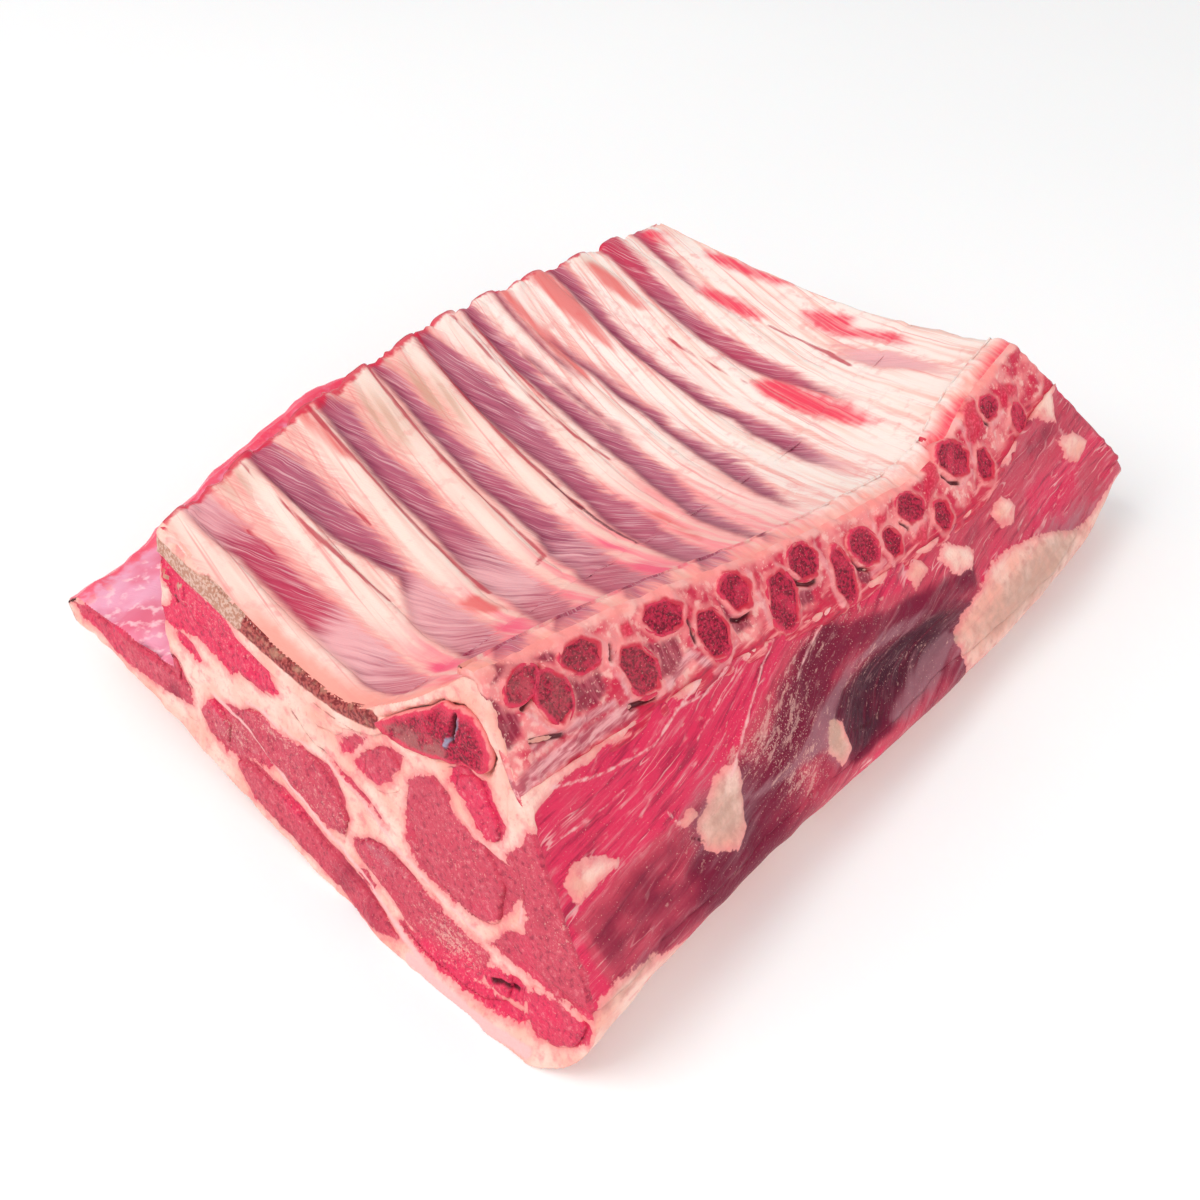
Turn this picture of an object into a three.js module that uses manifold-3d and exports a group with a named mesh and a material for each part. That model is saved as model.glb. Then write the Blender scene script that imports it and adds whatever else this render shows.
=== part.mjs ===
// A bone-in rack of lamb, saw-cut down the middle of the spine and lying on its fat side.
// X runs along the spine from the shoulder end to the loin end, Y from the spine out to the
// rib ends, and Z up from the fat cover to the bare inner face of the ribs. Millimetres.
import * as THREE from 'three';
import Module from 'manifold-3d';

const wasm = await Module();
wasm.setup();

// Driving dimensions
const RIBS = 10;
const CHINE_LEAN = 0.674;       // the saw cut leans in by this much for each millimetre of height
const CHINE_FOOT = -1.2;        // Y of the saw cut at the board
const CHINE_TOP = 90.5;         // height of the spine edge at the shoulder end
const RIB_END = 171;            // Y of the sawn rib ends at the shoulder end
const NEAR_LEAN_Z = 0.21;       // slope of the shoulder-end cut with height
const NEAR_LEAN_Y = 0.05;       // and with width
const NEAR_FOOT = -3.2;
const FAR_FOOT = 269;           // X of the loin-end cut near the board
const FAR_LEAN = 0.72;          // the loin-end cut leans back by this much
const FAR_BEND = 16;            // height above which it leans
const GAP = 0.45;               // clearance that keeps neighbouring pieces apart
const STATIONS = 10;            // sections along the rack
const ROOM = 6;                 // how far a cavity stands open past an outer face
const OVERRUN = 0.04;           // share of the length by which a cavity runs out past the end cuts
const PROUD = 0.9;              // how far a cut muscle swells out of its fat at the end faces
const CAP_INSET = 0.2;          // share of a muscle's width that the swelling takes at its rim

// Heights of the inner face at equal steps from the shoulder end to the loin end
const spineRail = rail([CHINE_TOP, 85.5, 79, 71.5, 65, 61, 67, 70]);
const hollowRail = rail([58, 57, 55, 53, 51.5, 51, 53, 56]);
const ribEndRail = rail([71, 72, 73.5, 74, 74, 72.5, 69.5, 65]);
// How far the rib ends stand out beyond their place at the shoulder end
const ribBow = rail([0, 5, 8, 10, 10.5, 8, 6.5, 8]);
// How much the flap of cap muscle draws in towards the loin end, and how far it curls up
const flapTaper = rail([0, 0, -1, 1, 6, 15, 24, 28]);
const flapCurl = rail([0, 1, 8, 13, 9, 3, 0, 0]);
// How far the fat cover stops short of the saw cut along its foot
const coverSetback = rail([1, 4.5, 4, 1.5, 0, -1, -1, 0.5]);

// A smooth curve through values at equal steps over 0 to 1, carried on straight past its ends
function rail(values) {
  const last = values.length - 1;
  return (t) => {
    const s = Math.min(Math.max(t, 0), 1) * last;
    const i = Math.min(Math.floor(s), last - 1);
    const u = s - i;
    const [p1, p2] = [values[i], values[i + 1]];
    const p0 = i > 0 ? values[i - 1] : 2 * p1 - p2;
    const p3 = i < last - 1 ? values[i + 2] : 2 * p2 - p1;
    const cubic = 2 * p0 - 5 * p1 + 4 * p2 - p3 + (3 * p1 - p0 - 3 * p2 + p3) * u;
    return 0.5 * (2 * p1 + (p2 - p0) * u + cubic * u * u);
  };
}

function blend(from, to, value) {
  const u = Math.min(Math.max((value - from) / (to - from), 0), 1);
  return u * u * (3 - 2 * u);
}

// Height of the inner face: a ridge over the spine, a hollow, then a rise to the rib ends
function innerZ(t, a) {
  const spine = (1 - Math.min(Math.max((a - 62) / 42, 0), 1)) ** 1.5;
  const ends = Math.min(Math.max((a - 107) / 64, 0), 1) ** 1.8;
  return spineRail(t) * spine + ribEndRail(t) * ends + hollowRail(t) * (1 - spine - ends);
}

// Height of the fat cover's underside, flat under the loin and rising towards the flap.
// Behind the cut end the flat is wider, so that the rack rests without tipping
function outerZ(t, a) {
  const flat = 98 + 20 * blend(0.03, 0.2, t);
  return 20.4 * Math.max(a - flat, 0) / (218 - flat) + 6 * blend(0.86, 1, t);
}

// Waviness of the saw-cut lean, with the deep hollow where a muscle has pulled away
function chineRelief(t, b) {
  const wave = 1.3 * Math.sin(13 * t + 0.06 * b) * Math.sin(0.09 * b + 5 * t + 0.6);
  const hollow = 6 * Math.exp(-(((t - 0.51) / 0.11) ** 2) - ((b - 35) / 10) ** 2);
  return wave + hollow;
}

// Carries a point (a, b) of the shoulder-end section, Y and Z there, a part t along the rack
function place(t, a, b) {
  const thick = (innerZ(t, a) - outerZ(t, a)) / (innerZ(0, a) - outerZ(0, a));
  const flap = (Math.max(a - 172, 0) / 46) ** 1.5;
  const height = outerZ(t, a) + (b - outerZ(0, a)) * thick;
  const z = Math.max(height, outerZ(t, 0)) + flapCurl(t) * flap;
  const spineSide = 1 - blend(64, 120, a);
  const ribSide = blend(100, RIB_END, a);
  const skin = Math.exp(-Math.max(a - chineY(b), 0) / 9) * blend(14, 26, b) * blend(74, 62, b);
  const foot = coverSetback(t) * blend(26, 12, b) * blend(40, 24, a);
  const y = a + CHINE_LEAN * (z - b) * spineSide + ribBow(t) * ribSide
    - flapTaper(t) * flap + chineRelief(t, b) * skin + foot;
  const heel = 2.5 * blend(10, 0, b) * blend(96, 80, a);
  const near = NEAR_FOOT + NEAR_LEAN_Z * b + NEAR_LEAN_Y * a - heel;
  const rise = Math.max(z - FAR_BEND, 0);
  const far = FAR_FOOT - FAR_LEAN * rise * rise / (rise + 8) - 0.025 * (y - 20);
  return new THREE.Vector3(near + (far - near) * t, y, z);
}

// Y of the saw cut at height b of the shoulder-end section
function chineY(b) {
  return CHINE_FOOT + CHINE_LEAN * b;
}

// A smooth closed outline through a few points of the section, as count points
function outline(points, count) {
  const curve = new THREE.CatmullRomCurve3(
    points.map(([a, b]) => new THREE.Vector3(a, b, 0)), true, 'centripetal');
  return curve.getSpacedPoints(count).slice(0, count).map((p) => [p.x, p.y]);
}

function centre(ring) {
  const sum = ring.reduce(([a, b], p) => [a + p[0], b + p[1]], [0, 0]);
  return [sum[0] / ring.length, sum[1] / ring.length];
}

// The outline moved outwards by a distance, with its corners kept
function swell(ring, distance) {
  const n = ring.length;
  const turn = Math.sign(THREE.ShapeUtils.area(ring.map(([a, b]) => new THREE.Vector2(a, b))));
  const normal = ([a, b], [c, d]) => {
    const k = turn / Math.hypot(c - a, d - b);
    return [(d - b) * k, (a - c) * k];
  };
  return ring.map(([a, b], i) => {
    const [na, nb] = normal(ring[(i + n - 1) % n], [a, b]);
    const [ma, mb] = normal([a, b], ring[(i + 1) % n]);
    const k = distance / Math.max(1 + na * ma + nb * mb, 0.3);
    return [a + (na + ma) * k, b + (nb + mb) * k];
  });
}

// A closed skin over rings of points, capped flat or swelling out at the two ends
function skin(rings, capStart, capEnd) {
  const n = rings[0].length;
  const points = rings.flat();
  const faces = [];
  for (let r = 0; r + 1 < rings.length; r++) {
    for (let i = 0; i < n; i++) {
      const j = (i + 1) % n;
      const [p, q, s, u] = [r * n + i, r * n + j, (r + 1) * n + j, (r + 1) * n + i];
      faces.push([p, q, s], [p, s, u]);
    }
  }
  const start = capStart.map(([p, q, s]) => [s, q, p]);
  const shift = (rings.length - 1) * n;
  const end = capEnd.map((face) => face.map((v) => v + shift));
  return solid(points, faces.concat(start, end));
}

// Points and faces as a solid whose faces point out
function solid(points, faces) {
  const volume = faces.reduce((sum, [p, q, s]) => {
    const cross = new THREE.Vector3().crossVectors(points[q], points[s]);
    return sum + points[p].dot(cross);
  }, 0);
  const turned = volume < 0 ? faces.map(([p, q, s]) => [p, s, q]) : faces;
  return new wasm.Manifold(new wasm.Mesh({
    numProp: 3,
    vertProperties: Float32Array.from(points.flatMap((p) => [p.x, p.y, p.z])),
    triVerts: Uint32Array.from(turned.flat()),
  }));
}

// The triangles that close a ring, wound in the ring's own direction
function capFaces(ring) {
  const flat = ring.map(([a, b]) => new THREE.Vector2(a, b));
  const turn = Math.sign(THREE.ShapeUtils.area(flat));
  return THREE.ShapeUtils.triangulateShape(flat, []).map(([p, q, s]) => {
    const same = Math.sign(THREE.ShapeUtils.area([flat[p], flat[q], flat[s]])) === turn;
    return same ? [p, q, s] : [p, s, q];
  });
}

// A muscle or layer that runs the whole rack: its section changes in size towards the loin end
function layer(ring, { grow = [1, 1], through = 0, cap = 0, spread = 0 } = {}) {
  const middle = centre(ring);
  const stops = Array.from({ length: STATIONS }, (_, k) => k / (STATIONS - 1));
  if (through > 0) {
    stops.unshift(-through);
    stops.push(1 + through);
  }
  const section = (t) => swell(ring.map(([a, b]) => [
    middle[0] + (a - middle[0]) * (1 + (grow[0] - 1) * t),
    middle[1] + (b - middle[1]) * (1 + (grow[1] - 1) * t),
  ]), spread);
  const rings = stops.map((t) => section(t).map(([a, b]) => place(t, a, b)));
  if (cap > 0) {
    for (const [t, out] of [[0, -cap], [1, cap]]) {
      const mid = centre(section(t));
      const inner = section(t).map(([a, b]) => (
        place(t, a + (mid[0] - a) * CAP_INSET, b + (mid[1] - b) * CAP_INSET)));
      inner.forEach((p) => p.setX(p.x + out));
      if (out < 0) {
        rings.unshift(inner);
      } else {
        rings.push(inner);
      }
    }
  }
  return skin(rings, capFaces(ring), capFaces(ring));
}

// Section outlines, as Y and Z at the shoulder end
const inner = (a, lift = 0) => [a, innerZ(0, a) + lift];
const chine = (b, out = 0) => [chineY(b) - out, b];

const envelopeOutline = [
  [30, 0], [22, 3.5], [16, 10], [13.5, 17], chine(24), chine(36), chine(48), chine(60), chine(72),
  chine(84), inner(62), inner(68), inner(76), inner(85), inner(95), inner(107), inner(123),
  inner(139), inner(155),
  [RIB_END, 70.5], [RIB_END + 2.5, 64], [RIB_END + 2, 50], [RIB_END - 1, 37], [165, 30.5],
  [178, 28.5], [200, 28], [213, 27.5], [218, 23.5], [212, 19.5], [190, 17.5], [172, 15],
  [162, 11.5], [150, 8.2], [137, 6.3], [116, 2.6], [100, 0], [77, 0], [52, 0],
];
const eyeOutline = outline([[77, 46], [77, 52], [73, 56], [66, 54.5], [58, 51], [50, 46], [45, 39],
  [45, 31], [50, 27.5], [58, 27.5], [66, 30], [73, 36]], 12);
const sideOutline = outline([[93.5, 45], [91, 51], [85, 54], [80.5, 51.5], [81, 45.5], [87, 41.5]], 8);
const middleOuterOutline = outline([[138, 33], [125, 37.5], [112, 35.5], [103, 31.5], [98, 24.5],
  [99, 17.5], [107, 17.8], [117, 22], [129, 26.5]], 12);
const middleInnerOutline = outline([[93.5, 21], [86, 24.5], [74, 23], [60, 22.6], [47, 21.6], [40, 18],
  [40, 10.5], [48, 6.5], [62, 6], [75, 8], [86, 12.5], [92, 16.5]], 12);
const capOutline = outline([[143, 14.5], [134, 16.8], [121, 16], [108, 12.2], [95, 8.5], [83, 5.5],
  [75, 3], [82, 1.8], [96, 1.8], [108, 3.6], [122, 6.2], [137, 9]], 12);
const flapOutline = outline([[143, 24.5], [152, 28.2], [165, 27.3], [178, 26.6], [198, 26], [212, 25.5],
  [216, 23.6], [208, 21.3], [190, 19.6], [172, 18.2], [156, 18]], 12);
const tailOutline = outline([[35, 19], [28, 22], [20, 22.3], [16.5, 18.5], [19, 12], [25, 8.5],
  [32, 9], [36, 13]], 8);
const chineMuscleOutline = outline([[63, 60], [58, 63.5], [52, 58.5], [48.5, 53.5], [52, 51.8],
  [59, 55.5]], 8);
const ribWallOutline = [inner(85), inner(95), inner(107), inner(123), inner(139), inner(155),
  inner(RIB_END), [RIB_END + 1.5, 64], [RIB_END + 0.5, 54], [158, 50], [140, 45.5], [122, 44.5],
  [105, 48], [91, 56]];

// The lean beside the spine: its outer side is the saw cut, out is its allowance past the cut
function chineLeanOutline(out) {
  return [chine(27, out), chine(37, out), chine(47, out), chine(57, out), chine(67, out),
    [48, 67], [46.5, 60.5], [45, 53], [40, 45], [40.5, 36], [41, 28.5], [36, 26.2], [26, 25.8]];
}

// Rings round a tapering oval bar of bone whose middle line and half sizes vary along it
const RIB_SIDES = 8;
const RIB_STEPS = 7;
const RIB_START = 84;           // Y where a rib comes out of the fat beside the spine
const RIB_PROUD = 1.8;          // how far the sawn bone stands out of the meat
const RIB_HALF_WIDTH = 4.6;     // half a rib's width beside the spine, and what it gains further out
const RIB_WIDENING = 1.2;
const RACK_LENGTH = 215;
// Where the ribs lie along the rack, and how far each leans towards the shoulder end on its way
// from its sawn end down to the spine, both as shares of the length for every other rib
const ribPlace = rail([0.017, 0.232, 0.427, 0.594, 0.781, 0.94]);
const ribLean = rail([0.005, 0.078, 0.102, 0.083, 0.08, 0.05]);
const RIB_LEVEL = 0.63;         // share of a rib's own length at which it is at its place

function ribBar(i, spread) {
  const rings = [];
  for (let k = 0; k <= RIB_STEPS + (spread > 0 ? 1 : 0); k++) {
    const u = Math.min(k / RIB_STEPS, 1);
    const a = RIB_START + (RIB_END + RIB_PROUD - RIB_START) * k / RIB_STEPS - (k === 0 ? spread : 0);
    const round = u === 0 ? 0.6 : 1;
    const halfWidth = (RIB_HALF_WIDTH + RIB_WIDENING * blend(0, 0.5, u)) * round + spread;
    const halfDepth = (3.6 + 0.6 * u) * round + spread;
    const along = ribPlace(i / RIBS) + ribLean(i / RIBS) * (u - RIB_LEVEL);
    const ring = [];
    for (let s = 0; s < RIB_SIDES; s++) {
      const angle = 2 * Math.PI * s / RIB_SIDES;
      const width = halfWidth * Math.sign(Math.cos(angle)) * Math.abs(Math.cos(angle)) ** 0.8;
      const start = spread > 0 && i === 0 ? -0.06 : -0.004;
      const t = Math.max(along + width / RACK_LENGTH, start);
      ring.push(place(t, a, innerZ(0, a) - 2.6 + halfDepth * Math.sin(angle)));
    }
    rings.push(ring);
  }
  const faces = Array.from({ length: RIB_SIDES - 2 }, (_, s) => [0, s + 1, s + 2]);
  return skin(rings, faces, faces);
}

// One vertebra: the sawn body above the canal, the sawn arch below it, and the bone between. The
// lists give where their middles lie, as a share of the length and Z on the shoulder-end cut.
const SAWN_BODIES = [[0.04, 85], [0.125, 84.8], [0.24, 85], [0.35, 84.5], [0.455, 84],
  [0.545, 81.5], [0.645, 84], [0.755, 84.8], [0.87, 84]];
const SAWN_ARCHES = [[0.078, 79], [0.188, 77], [0.296, 76.5], [0.4, 76], [0.497, 75],
  [0.588, 75.5], [0.682, 74.5], [0.794, 75], [0.9, 74.5]];
const SAWN_PROUD = 0.6;         // how far the sawn face of the bone stands out of the meat
const BONE_SINK = 0.7;          // how steeply the bone goes down into the meat behind the cut
const BONE_SIDES = 8;

function boneBlock(t, b, halfLength, halfHeight, tilt, from, to, spread) {
  const stops = from < -SAWN_PROUD ? [from, -SAWN_PROUD, to] : [from, to];
  const rings = stops.map((inward) => Array.from({ length: BONE_SIDES }, (_, s) => {
    const angle = 2 * Math.PI * s / BONE_SIDES;
    const along = halfLength * Math.cos(angle) + tilt * halfHeight * Math.sin(angle);
    const up = halfHeight * Math.sin(angle);
    const grown = 1 + 1.1 * spread / Math.hypot(along, up);
    const height = b + up * grown;
    const sink = BONE_SINK * Math.max(inward, 0);
    return place(t + along * grown / RACK_LENGTH, chineY(height) + inward, height - sink);
  }));
  const faces = Array.from({ length: BONE_SIDES - 2 }, (_, s) => [0, s + 1, s + 2]);
  return skin(rings, faces, faces);
}

function vertebra(i, spread) {
  const out = spread > 0 ? -ROOM : -SAWN_PROUD;
  const [bodyT, bodyZ] = SAWN_BODIES[i - 1];
  const [archT, archZ] = SAWN_ARCHES[i - 1];
  const body = boneBlock(bodyT, bodyZ, i < 2 ? 4.6 : 5, 3.7, 0.2, out, 8 + spread, spread);
  const arch = boneBlock(archT, archZ, 4.2, i < 2 ? 4.2 : 5, -0.3, out, 9 + spread, spread);
  const [pedicleT, pedicleZ] = [(bodyT + archT) / 2, (bodyZ + archZ) / 2];
  const pedicle = boneBlock(pedicleT, pedicleZ, 4, 5, -0.8, 3 - spread, 8 + spread, spread);
  return body.add(arch).add(pedicle);
}

// The first vertebra lies on the shoulder-end cut, with the canal sawn open beside it
const firstVertebraOutline = [[88, 57.5], [83, 64], [76, 71], [69.5, 76], [66, 75], [62.5, 78],
  [56.5, 76.5], [53.5, 71], [57, 66], [63, 65.5], [69, 61.5], [79, 57]];

const FIRST_SLICE = 0.007;      // share of the length that is left of the first vertebra

function firstVertebra(spread) {
  const ring = swell(firstVertebraOutline, spread);
  const stops = [spread > 0 ? -OVERRUN : -0.003, FIRST_SLICE + spread / RACK_LENGTH];
  const rings = stops.map((t) => ring.map(([a, b]) => place(t, a, b)));
  return skin(rings, capFaces(ring), capFaces(ring));
}

// The one body left when cutting has freed scraps
function largest(shape) {
  const bodies = shape.decompose();
  return bodies.reduce((best, body) => (body.volume() > best.volume() ? body : best));
}

// Colours of the cut meat, as sRGB
const LEAN = { colour: 0xb8324b, roughness: 0.45 };
const DARK_LEAN = { colour: 0x9a2038, roughness: 0.45 };
const FAT = { colour: 0xf3cdb6, roughness: 0.5 };
const WALL = { colour: 0xb56a7f, roughness: 0.4 };
const BONE = { colour: 0xf0dcc4, roughness: 0.5 };
const MARROW = { colour: 0xa02238, roughness: 0.6 };

const rack = new THREE.Group();

function addPiece(name, shape, { colour, roughness }) {
  const { numProp, vertProperties, triVerts } = largest(shape).getMesh();
  const positions = new Float32Array(vertProperties.length / numProp * 3);
  for (let v = 0; v * numProp < vertProperties.length; v++) {
    positions.set(vertProperties.subarray(v * numProp, v * numProp + 3), v * 3);
  }
  const geometry = new THREE.BufferGeometry();
  geometry.setAttribute('position', new THREE.BufferAttribute(positions, 3));
  geometry.setIndex(new THREE.BufferAttribute(Uint32Array.from(triVerts), 1));
  geometry.computeVertexNormals();
  const material = new THREE.MeshStandardMaterial({ color: colour, roughness, metalness: 0 });
  const mesh = new THREE.Mesh(geometry, material);
  mesh.name = name;
  rack.add(mesh);
}

const label = (i) => String(i + 1).padStart(2, '0');
const everyBone = Array.from({ length: RIBS }, (_, i) => i);

const muscles = {
  loin_eye: { ring: eyeOutline, grow: [1.12, 1.1], look: LEAN },
  side_muscle: { ring: sideOutline, grow: [0.7, 0.8], look: DARK_LEAN },
  middle_muscle_outer: { ring: middleOuterOutline, grow: [0.85, 0.7], look: DARK_LEAN },
  middle_muscle_inner: { ring: middleInnerOutline, grow: [0.95, 0.8], look: LEAN },
  cap_muscle: { ring: capOutline, grow: [0.95, 0.85], look: LEAN },
  flap_muscle: { ring: flapOutline, grow: [1, 0.9], look: LEAN },
  tail_muscle: { ring: tailOutline, grow: [0.85, 0.8], look: LEAN },
  chine_muscle: { ring: chineMuscleOutline, grow: [0.9, 0.8], look: DARK_LEAN },
};

let fat = layer(envelopeOutline);
for (const { ring, grow } of Object.values(muscles)) {
  fat = fat.subtract(layer(ring, { grow, through: OVERRUN, spread: GAP }));
}
let chineLean = layer(chineLeanOutline(0), { cap: PROUD });
fat = fat.subtract(layer(chineLeanOutline(ROOM), { through: OVERRUN, spread: GAP }));
let wall = layer(ribWallOutline);
const wallRoom = ribWallOutline.map(([a, b], k) => {
  const side = k >= 6 && k <= 8 ? ROOM : 0;
  const up = k >= 1 && k <= 6 ? ROOM : 0;
  return [a + side, b + up];
});
fat = fat.subtract(layer(wallRoom, { through: OVERRUN, spread: GAP }));

for (const i of everyBone) {
  const channel = ribBar(i, GAP);
  wall = wall.subtract(channel);
  fat = fat.subtract(channel);
  const socket = i === 0 ? firstVertebra(GAP) : vertebra(i, GAP);
  fat = fat.subtract(socket);
  chineLean = chineLean.subtract(socket);
}

addPiece('fat_and_seams', fat, FAT);
for (const [name, { ring, grow, look }] of Object.entries(muscles)) {
  addPiece(name, layer(ring, { grow, cap: PROUD }), look);
}
addPiece('chine_lean', chineLean, LEAN);
addPiece('rib_wall', wall, WALL);
for (const i of everyBone) {
  addPiece(`rib_${label(i)}`, ribBar(i, 0), BONE);
  addPiece(`vertebra_${label(i)}`, i === 0 ? firstVertebra(0) : vertebra(i, 0), MARROW);
}

// The origin goes to the middle of the rack at the height of the board
const bounds = new THREE.Box3().setFromObject(rack);
const middle = bounds.getCenter(new THREE.Vector3());
rack.position.set(-middle.x, -middle.y, -bounds.min.z);
rack.updateMatrixWorld(true);

export default rack;
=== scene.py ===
import math

import bpy
import numpy as np
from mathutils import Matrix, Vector


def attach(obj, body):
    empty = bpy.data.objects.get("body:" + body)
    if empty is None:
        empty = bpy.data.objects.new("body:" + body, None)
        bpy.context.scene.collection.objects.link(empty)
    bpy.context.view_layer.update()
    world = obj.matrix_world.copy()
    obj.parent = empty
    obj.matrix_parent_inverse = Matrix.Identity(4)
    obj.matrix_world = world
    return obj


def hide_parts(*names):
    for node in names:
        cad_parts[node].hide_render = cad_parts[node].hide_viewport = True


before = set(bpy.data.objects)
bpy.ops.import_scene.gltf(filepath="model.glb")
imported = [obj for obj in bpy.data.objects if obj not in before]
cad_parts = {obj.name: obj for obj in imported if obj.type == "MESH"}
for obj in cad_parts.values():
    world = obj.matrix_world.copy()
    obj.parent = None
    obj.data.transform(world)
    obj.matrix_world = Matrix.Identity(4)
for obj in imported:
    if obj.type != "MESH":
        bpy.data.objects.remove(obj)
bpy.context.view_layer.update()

# The fat and seams: the white cover that the rack lies on, the fat between its muscles and the
# ridge of fat and gristle over the spine. One body of soft fat, made as a section of the
# shoulder-end cut carried along the spine, then smoothed and given its dents and torn edges.
ZERO_X = -0.13282               # where the section's zero lies in the frame
ZERO_Y = -0.11836
CHINE_LEAN = 0.674              # the saw cut leans in by this much for each millimetre of height
CHINE_FOOT = -1.2               # and meets the board at this Y
RIB_END = 171.0                 # Y of the ribs' sawn ends, on the shoulder-end cut
NEAR_LEAN_Z = 0.21              # that cut leans in by this much for each millimetre of height
NEAR_LEAN_Y = 0.05              # and of Y
NEAR_FOOT = -3.2
FAR_FOOT = 269.0                # X of the loin-end cut at the board
FAR_LEAN = 0.72                 # it leans in by this much for each millimetre of height
FAR_BEND = 16.0                 # above this height
FLAT_END = 98                   # Y at which the underside leaves the board, on the shoulder-end cut
FLAT_MORE = 20                  # and how much further out behind it
FLAP_END = 218
FLAP_RISE = 20.4                # height of the underside at the edge of the flap
LOIN_RISE = 6                   # and how far it lifts at the loin end


def bend(p0, p1, p2, p3, u):
    """The point a part u of the way from p1 to p2, on a smooth curve through all four."""
    cubic = 2 * p0 - 5 * p1 + 4 * p2 - p3 + (3 * p1 - p0 - 3 * p2 + p3) * u
    return 0.5 * (2 * p1 + (p2 - p0) * u + cubic * u * u)


def with_ends(values):
    """The values with one more at each end, straight on from the last two."""
    v = np.array(values, float)
    return np.concatenate([[2 * v[0] - v[1]], v, [2 * v[-1] - v[-2]]])


def rail(values):
    """A smooth curve through values at equal steps over 0 to 1."""
    v = with_ends(values)

    def at(t):
        s = np.clip(t, 0, 1) * (len(v) - 3)
        i = np.minimum(s.astype(int), len(v) - 4)
        return bend(v[i], v[i + 1], v[i + 2], v[i + 3], s - i)

    return at


spine_rail = rail([90.5, 85.5, 79, 71.5, 65, 61, 67, 70])
hollow_rail = rail([58, 57, 55, 53, 51.5, 51, 53, 56])
rib_end_rail = rail([71, 72, 73.5, 74, 74, 72.5, 69.5, 65])
rib_bow = rail([0, 5, 8, 10, 10.5, 8, 6.5, 8])
flap_taper = rail([0, 0, -1, 1, 6, 15, 24, 28])
flap_curl = rail([0, 1, 8, 13, 9, 3, 0, 0])
cover_setback = rail([1, 4.5, 4, 1.5, 0, -1, -1, 0.5])


def blend(low, high, value):
    """A soft step from 0 to 1 as a value goes from low to high."""
    u = np.clip((value - low) / (high - low), 0, 1)
    return u * u * (3 - 2 * u)


def inner_height(t, a):
    """Height of the inner face: a ridge over the spine, a hollow, then a rise to the rib ends."""
    spine = (1 - np.clip((a - 62) / 42, 0, 1)) ** 1.5
    ends = np.clip((a - 107) / 64, 0, 1) ** 1.8
    return spine_rail(t) * spine + rib_end_rail(t) * ends + hollow_rail(t) * (1 - spine - ends)


def outer_height(t, a):
    """Height of the cover's underside, flat under the loin and rising towards the flap."""
    flat = FLAT_END + FLAT_MORE * blend(0.03, 0.2, t)
    return FLAP_RISE * np.maximum(a - flat, 0) / (FLAP_END - flat) + LOIN_RISE * blend(0.86, 1, t)


def place(t, a, b):
    """The point that lies a part t along the rack from (a, b) of the shoulder-end cut."""
    t, a, b = np.broadcast_arrays(np.asarray(t, float), np.asarray(a, float), np.asarray(b, float))
    full = inner_height(0 * t, a) - outer_height(0 * t, a)
    thick = (inner_height(t, a) - outer_height(t, a)) / full
    flap = (np.maximum(a - 172, 0) / 46) ** 1.5
    height = outer_height(t, a) + (b - outer_height(0 * t, a)) * thick
    z = np.maximum(height, outer_height(t, 0 * a)) + flap_curl(t) * flap
    wave = 1.3 * np.sin(13 * t + 0.06 * b) * np.sin(0.09 * b + 5 * t + 0.6)
    hollow = 6 * np.exp(-((t - 0.51) / 0.11) ** 2 - ((b - 35) / 10) ** 2)
    skin = np.exp(-np.maximum(a - CHINE_FOOT - CHINE_LEAN * b, 0) / 9)
    skin = skin * blend(14, 26, b) * blend(74, 62, b)
    foot = cover_setback(t) * blend(26, 12, b) * blend(40, 24, a)
    y = a + CHINE_LEAN * (z - b) * (1 - blend(64, 120, a)) + rib_bow(t) * blend(100, RIB_END, a)
    y = y - flap_taper(t) * flap + (wave + hollow) * skin + foot
    near = NEAR_FOOT + NEAR_LEAN_Z * b + NEAR_LEAN_Y * a - 2.5 * blend(10, 0, b) * blend(96, 80, a)
    rise = np.maximum(z - FAR_BEND, 0)
    far = FAR_FOOT - FAR_LEAN * rise * rise / (rise + 8) - 0.025 * (y - 20)
    x = near + (far - near) * t
    return np.stack([x * 0.001 + ZERO_X, y * 0.001 + ZERO_Y, z * 0.001], -1)


def line(points, count):
    """count points spread evenly along a smooth curve through a few."""
    p = np.array(points, float)
    if len(p) > 2:
        padded = with_ends(p)
        curve = [bend(*four, u) for four in zip(padded, padded[1:], padded[2:], padded[3:])
                 for u in np.arange(0, 1, 0.05)]
        p = np.array(curve + [p[-1]])
    run = np.concatenate([[0], np.cumsum(np.hypot(*np.diff(p, axis=0).T))])
    even = np.linspace(0, run[-1], count)
    return np.stack([np.interp(even, run, p[:, 0]), np.interp(even, run, p[:, 1])], -1)


def fill(left, right, lower, upper):
    """A grid of points inside the four sides of a section."""
    u = np.linspace(0, 1, len(lower))[:, None, None]
    v = np.linspace(0, 1, len(left))[None, :, None]
    sides = lower[:, None] * (1 - v) + upper[:, None] * v + left[None] * (1 - u) + right[None] * u
    corners = (1 - u) * (1 - v) * lower[0] + u * (1 - v) * lower[-1]
    corners = corners + (1 - u) * v * upper[0] + u * v * upper[-1]
    return sides - corners


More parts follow.
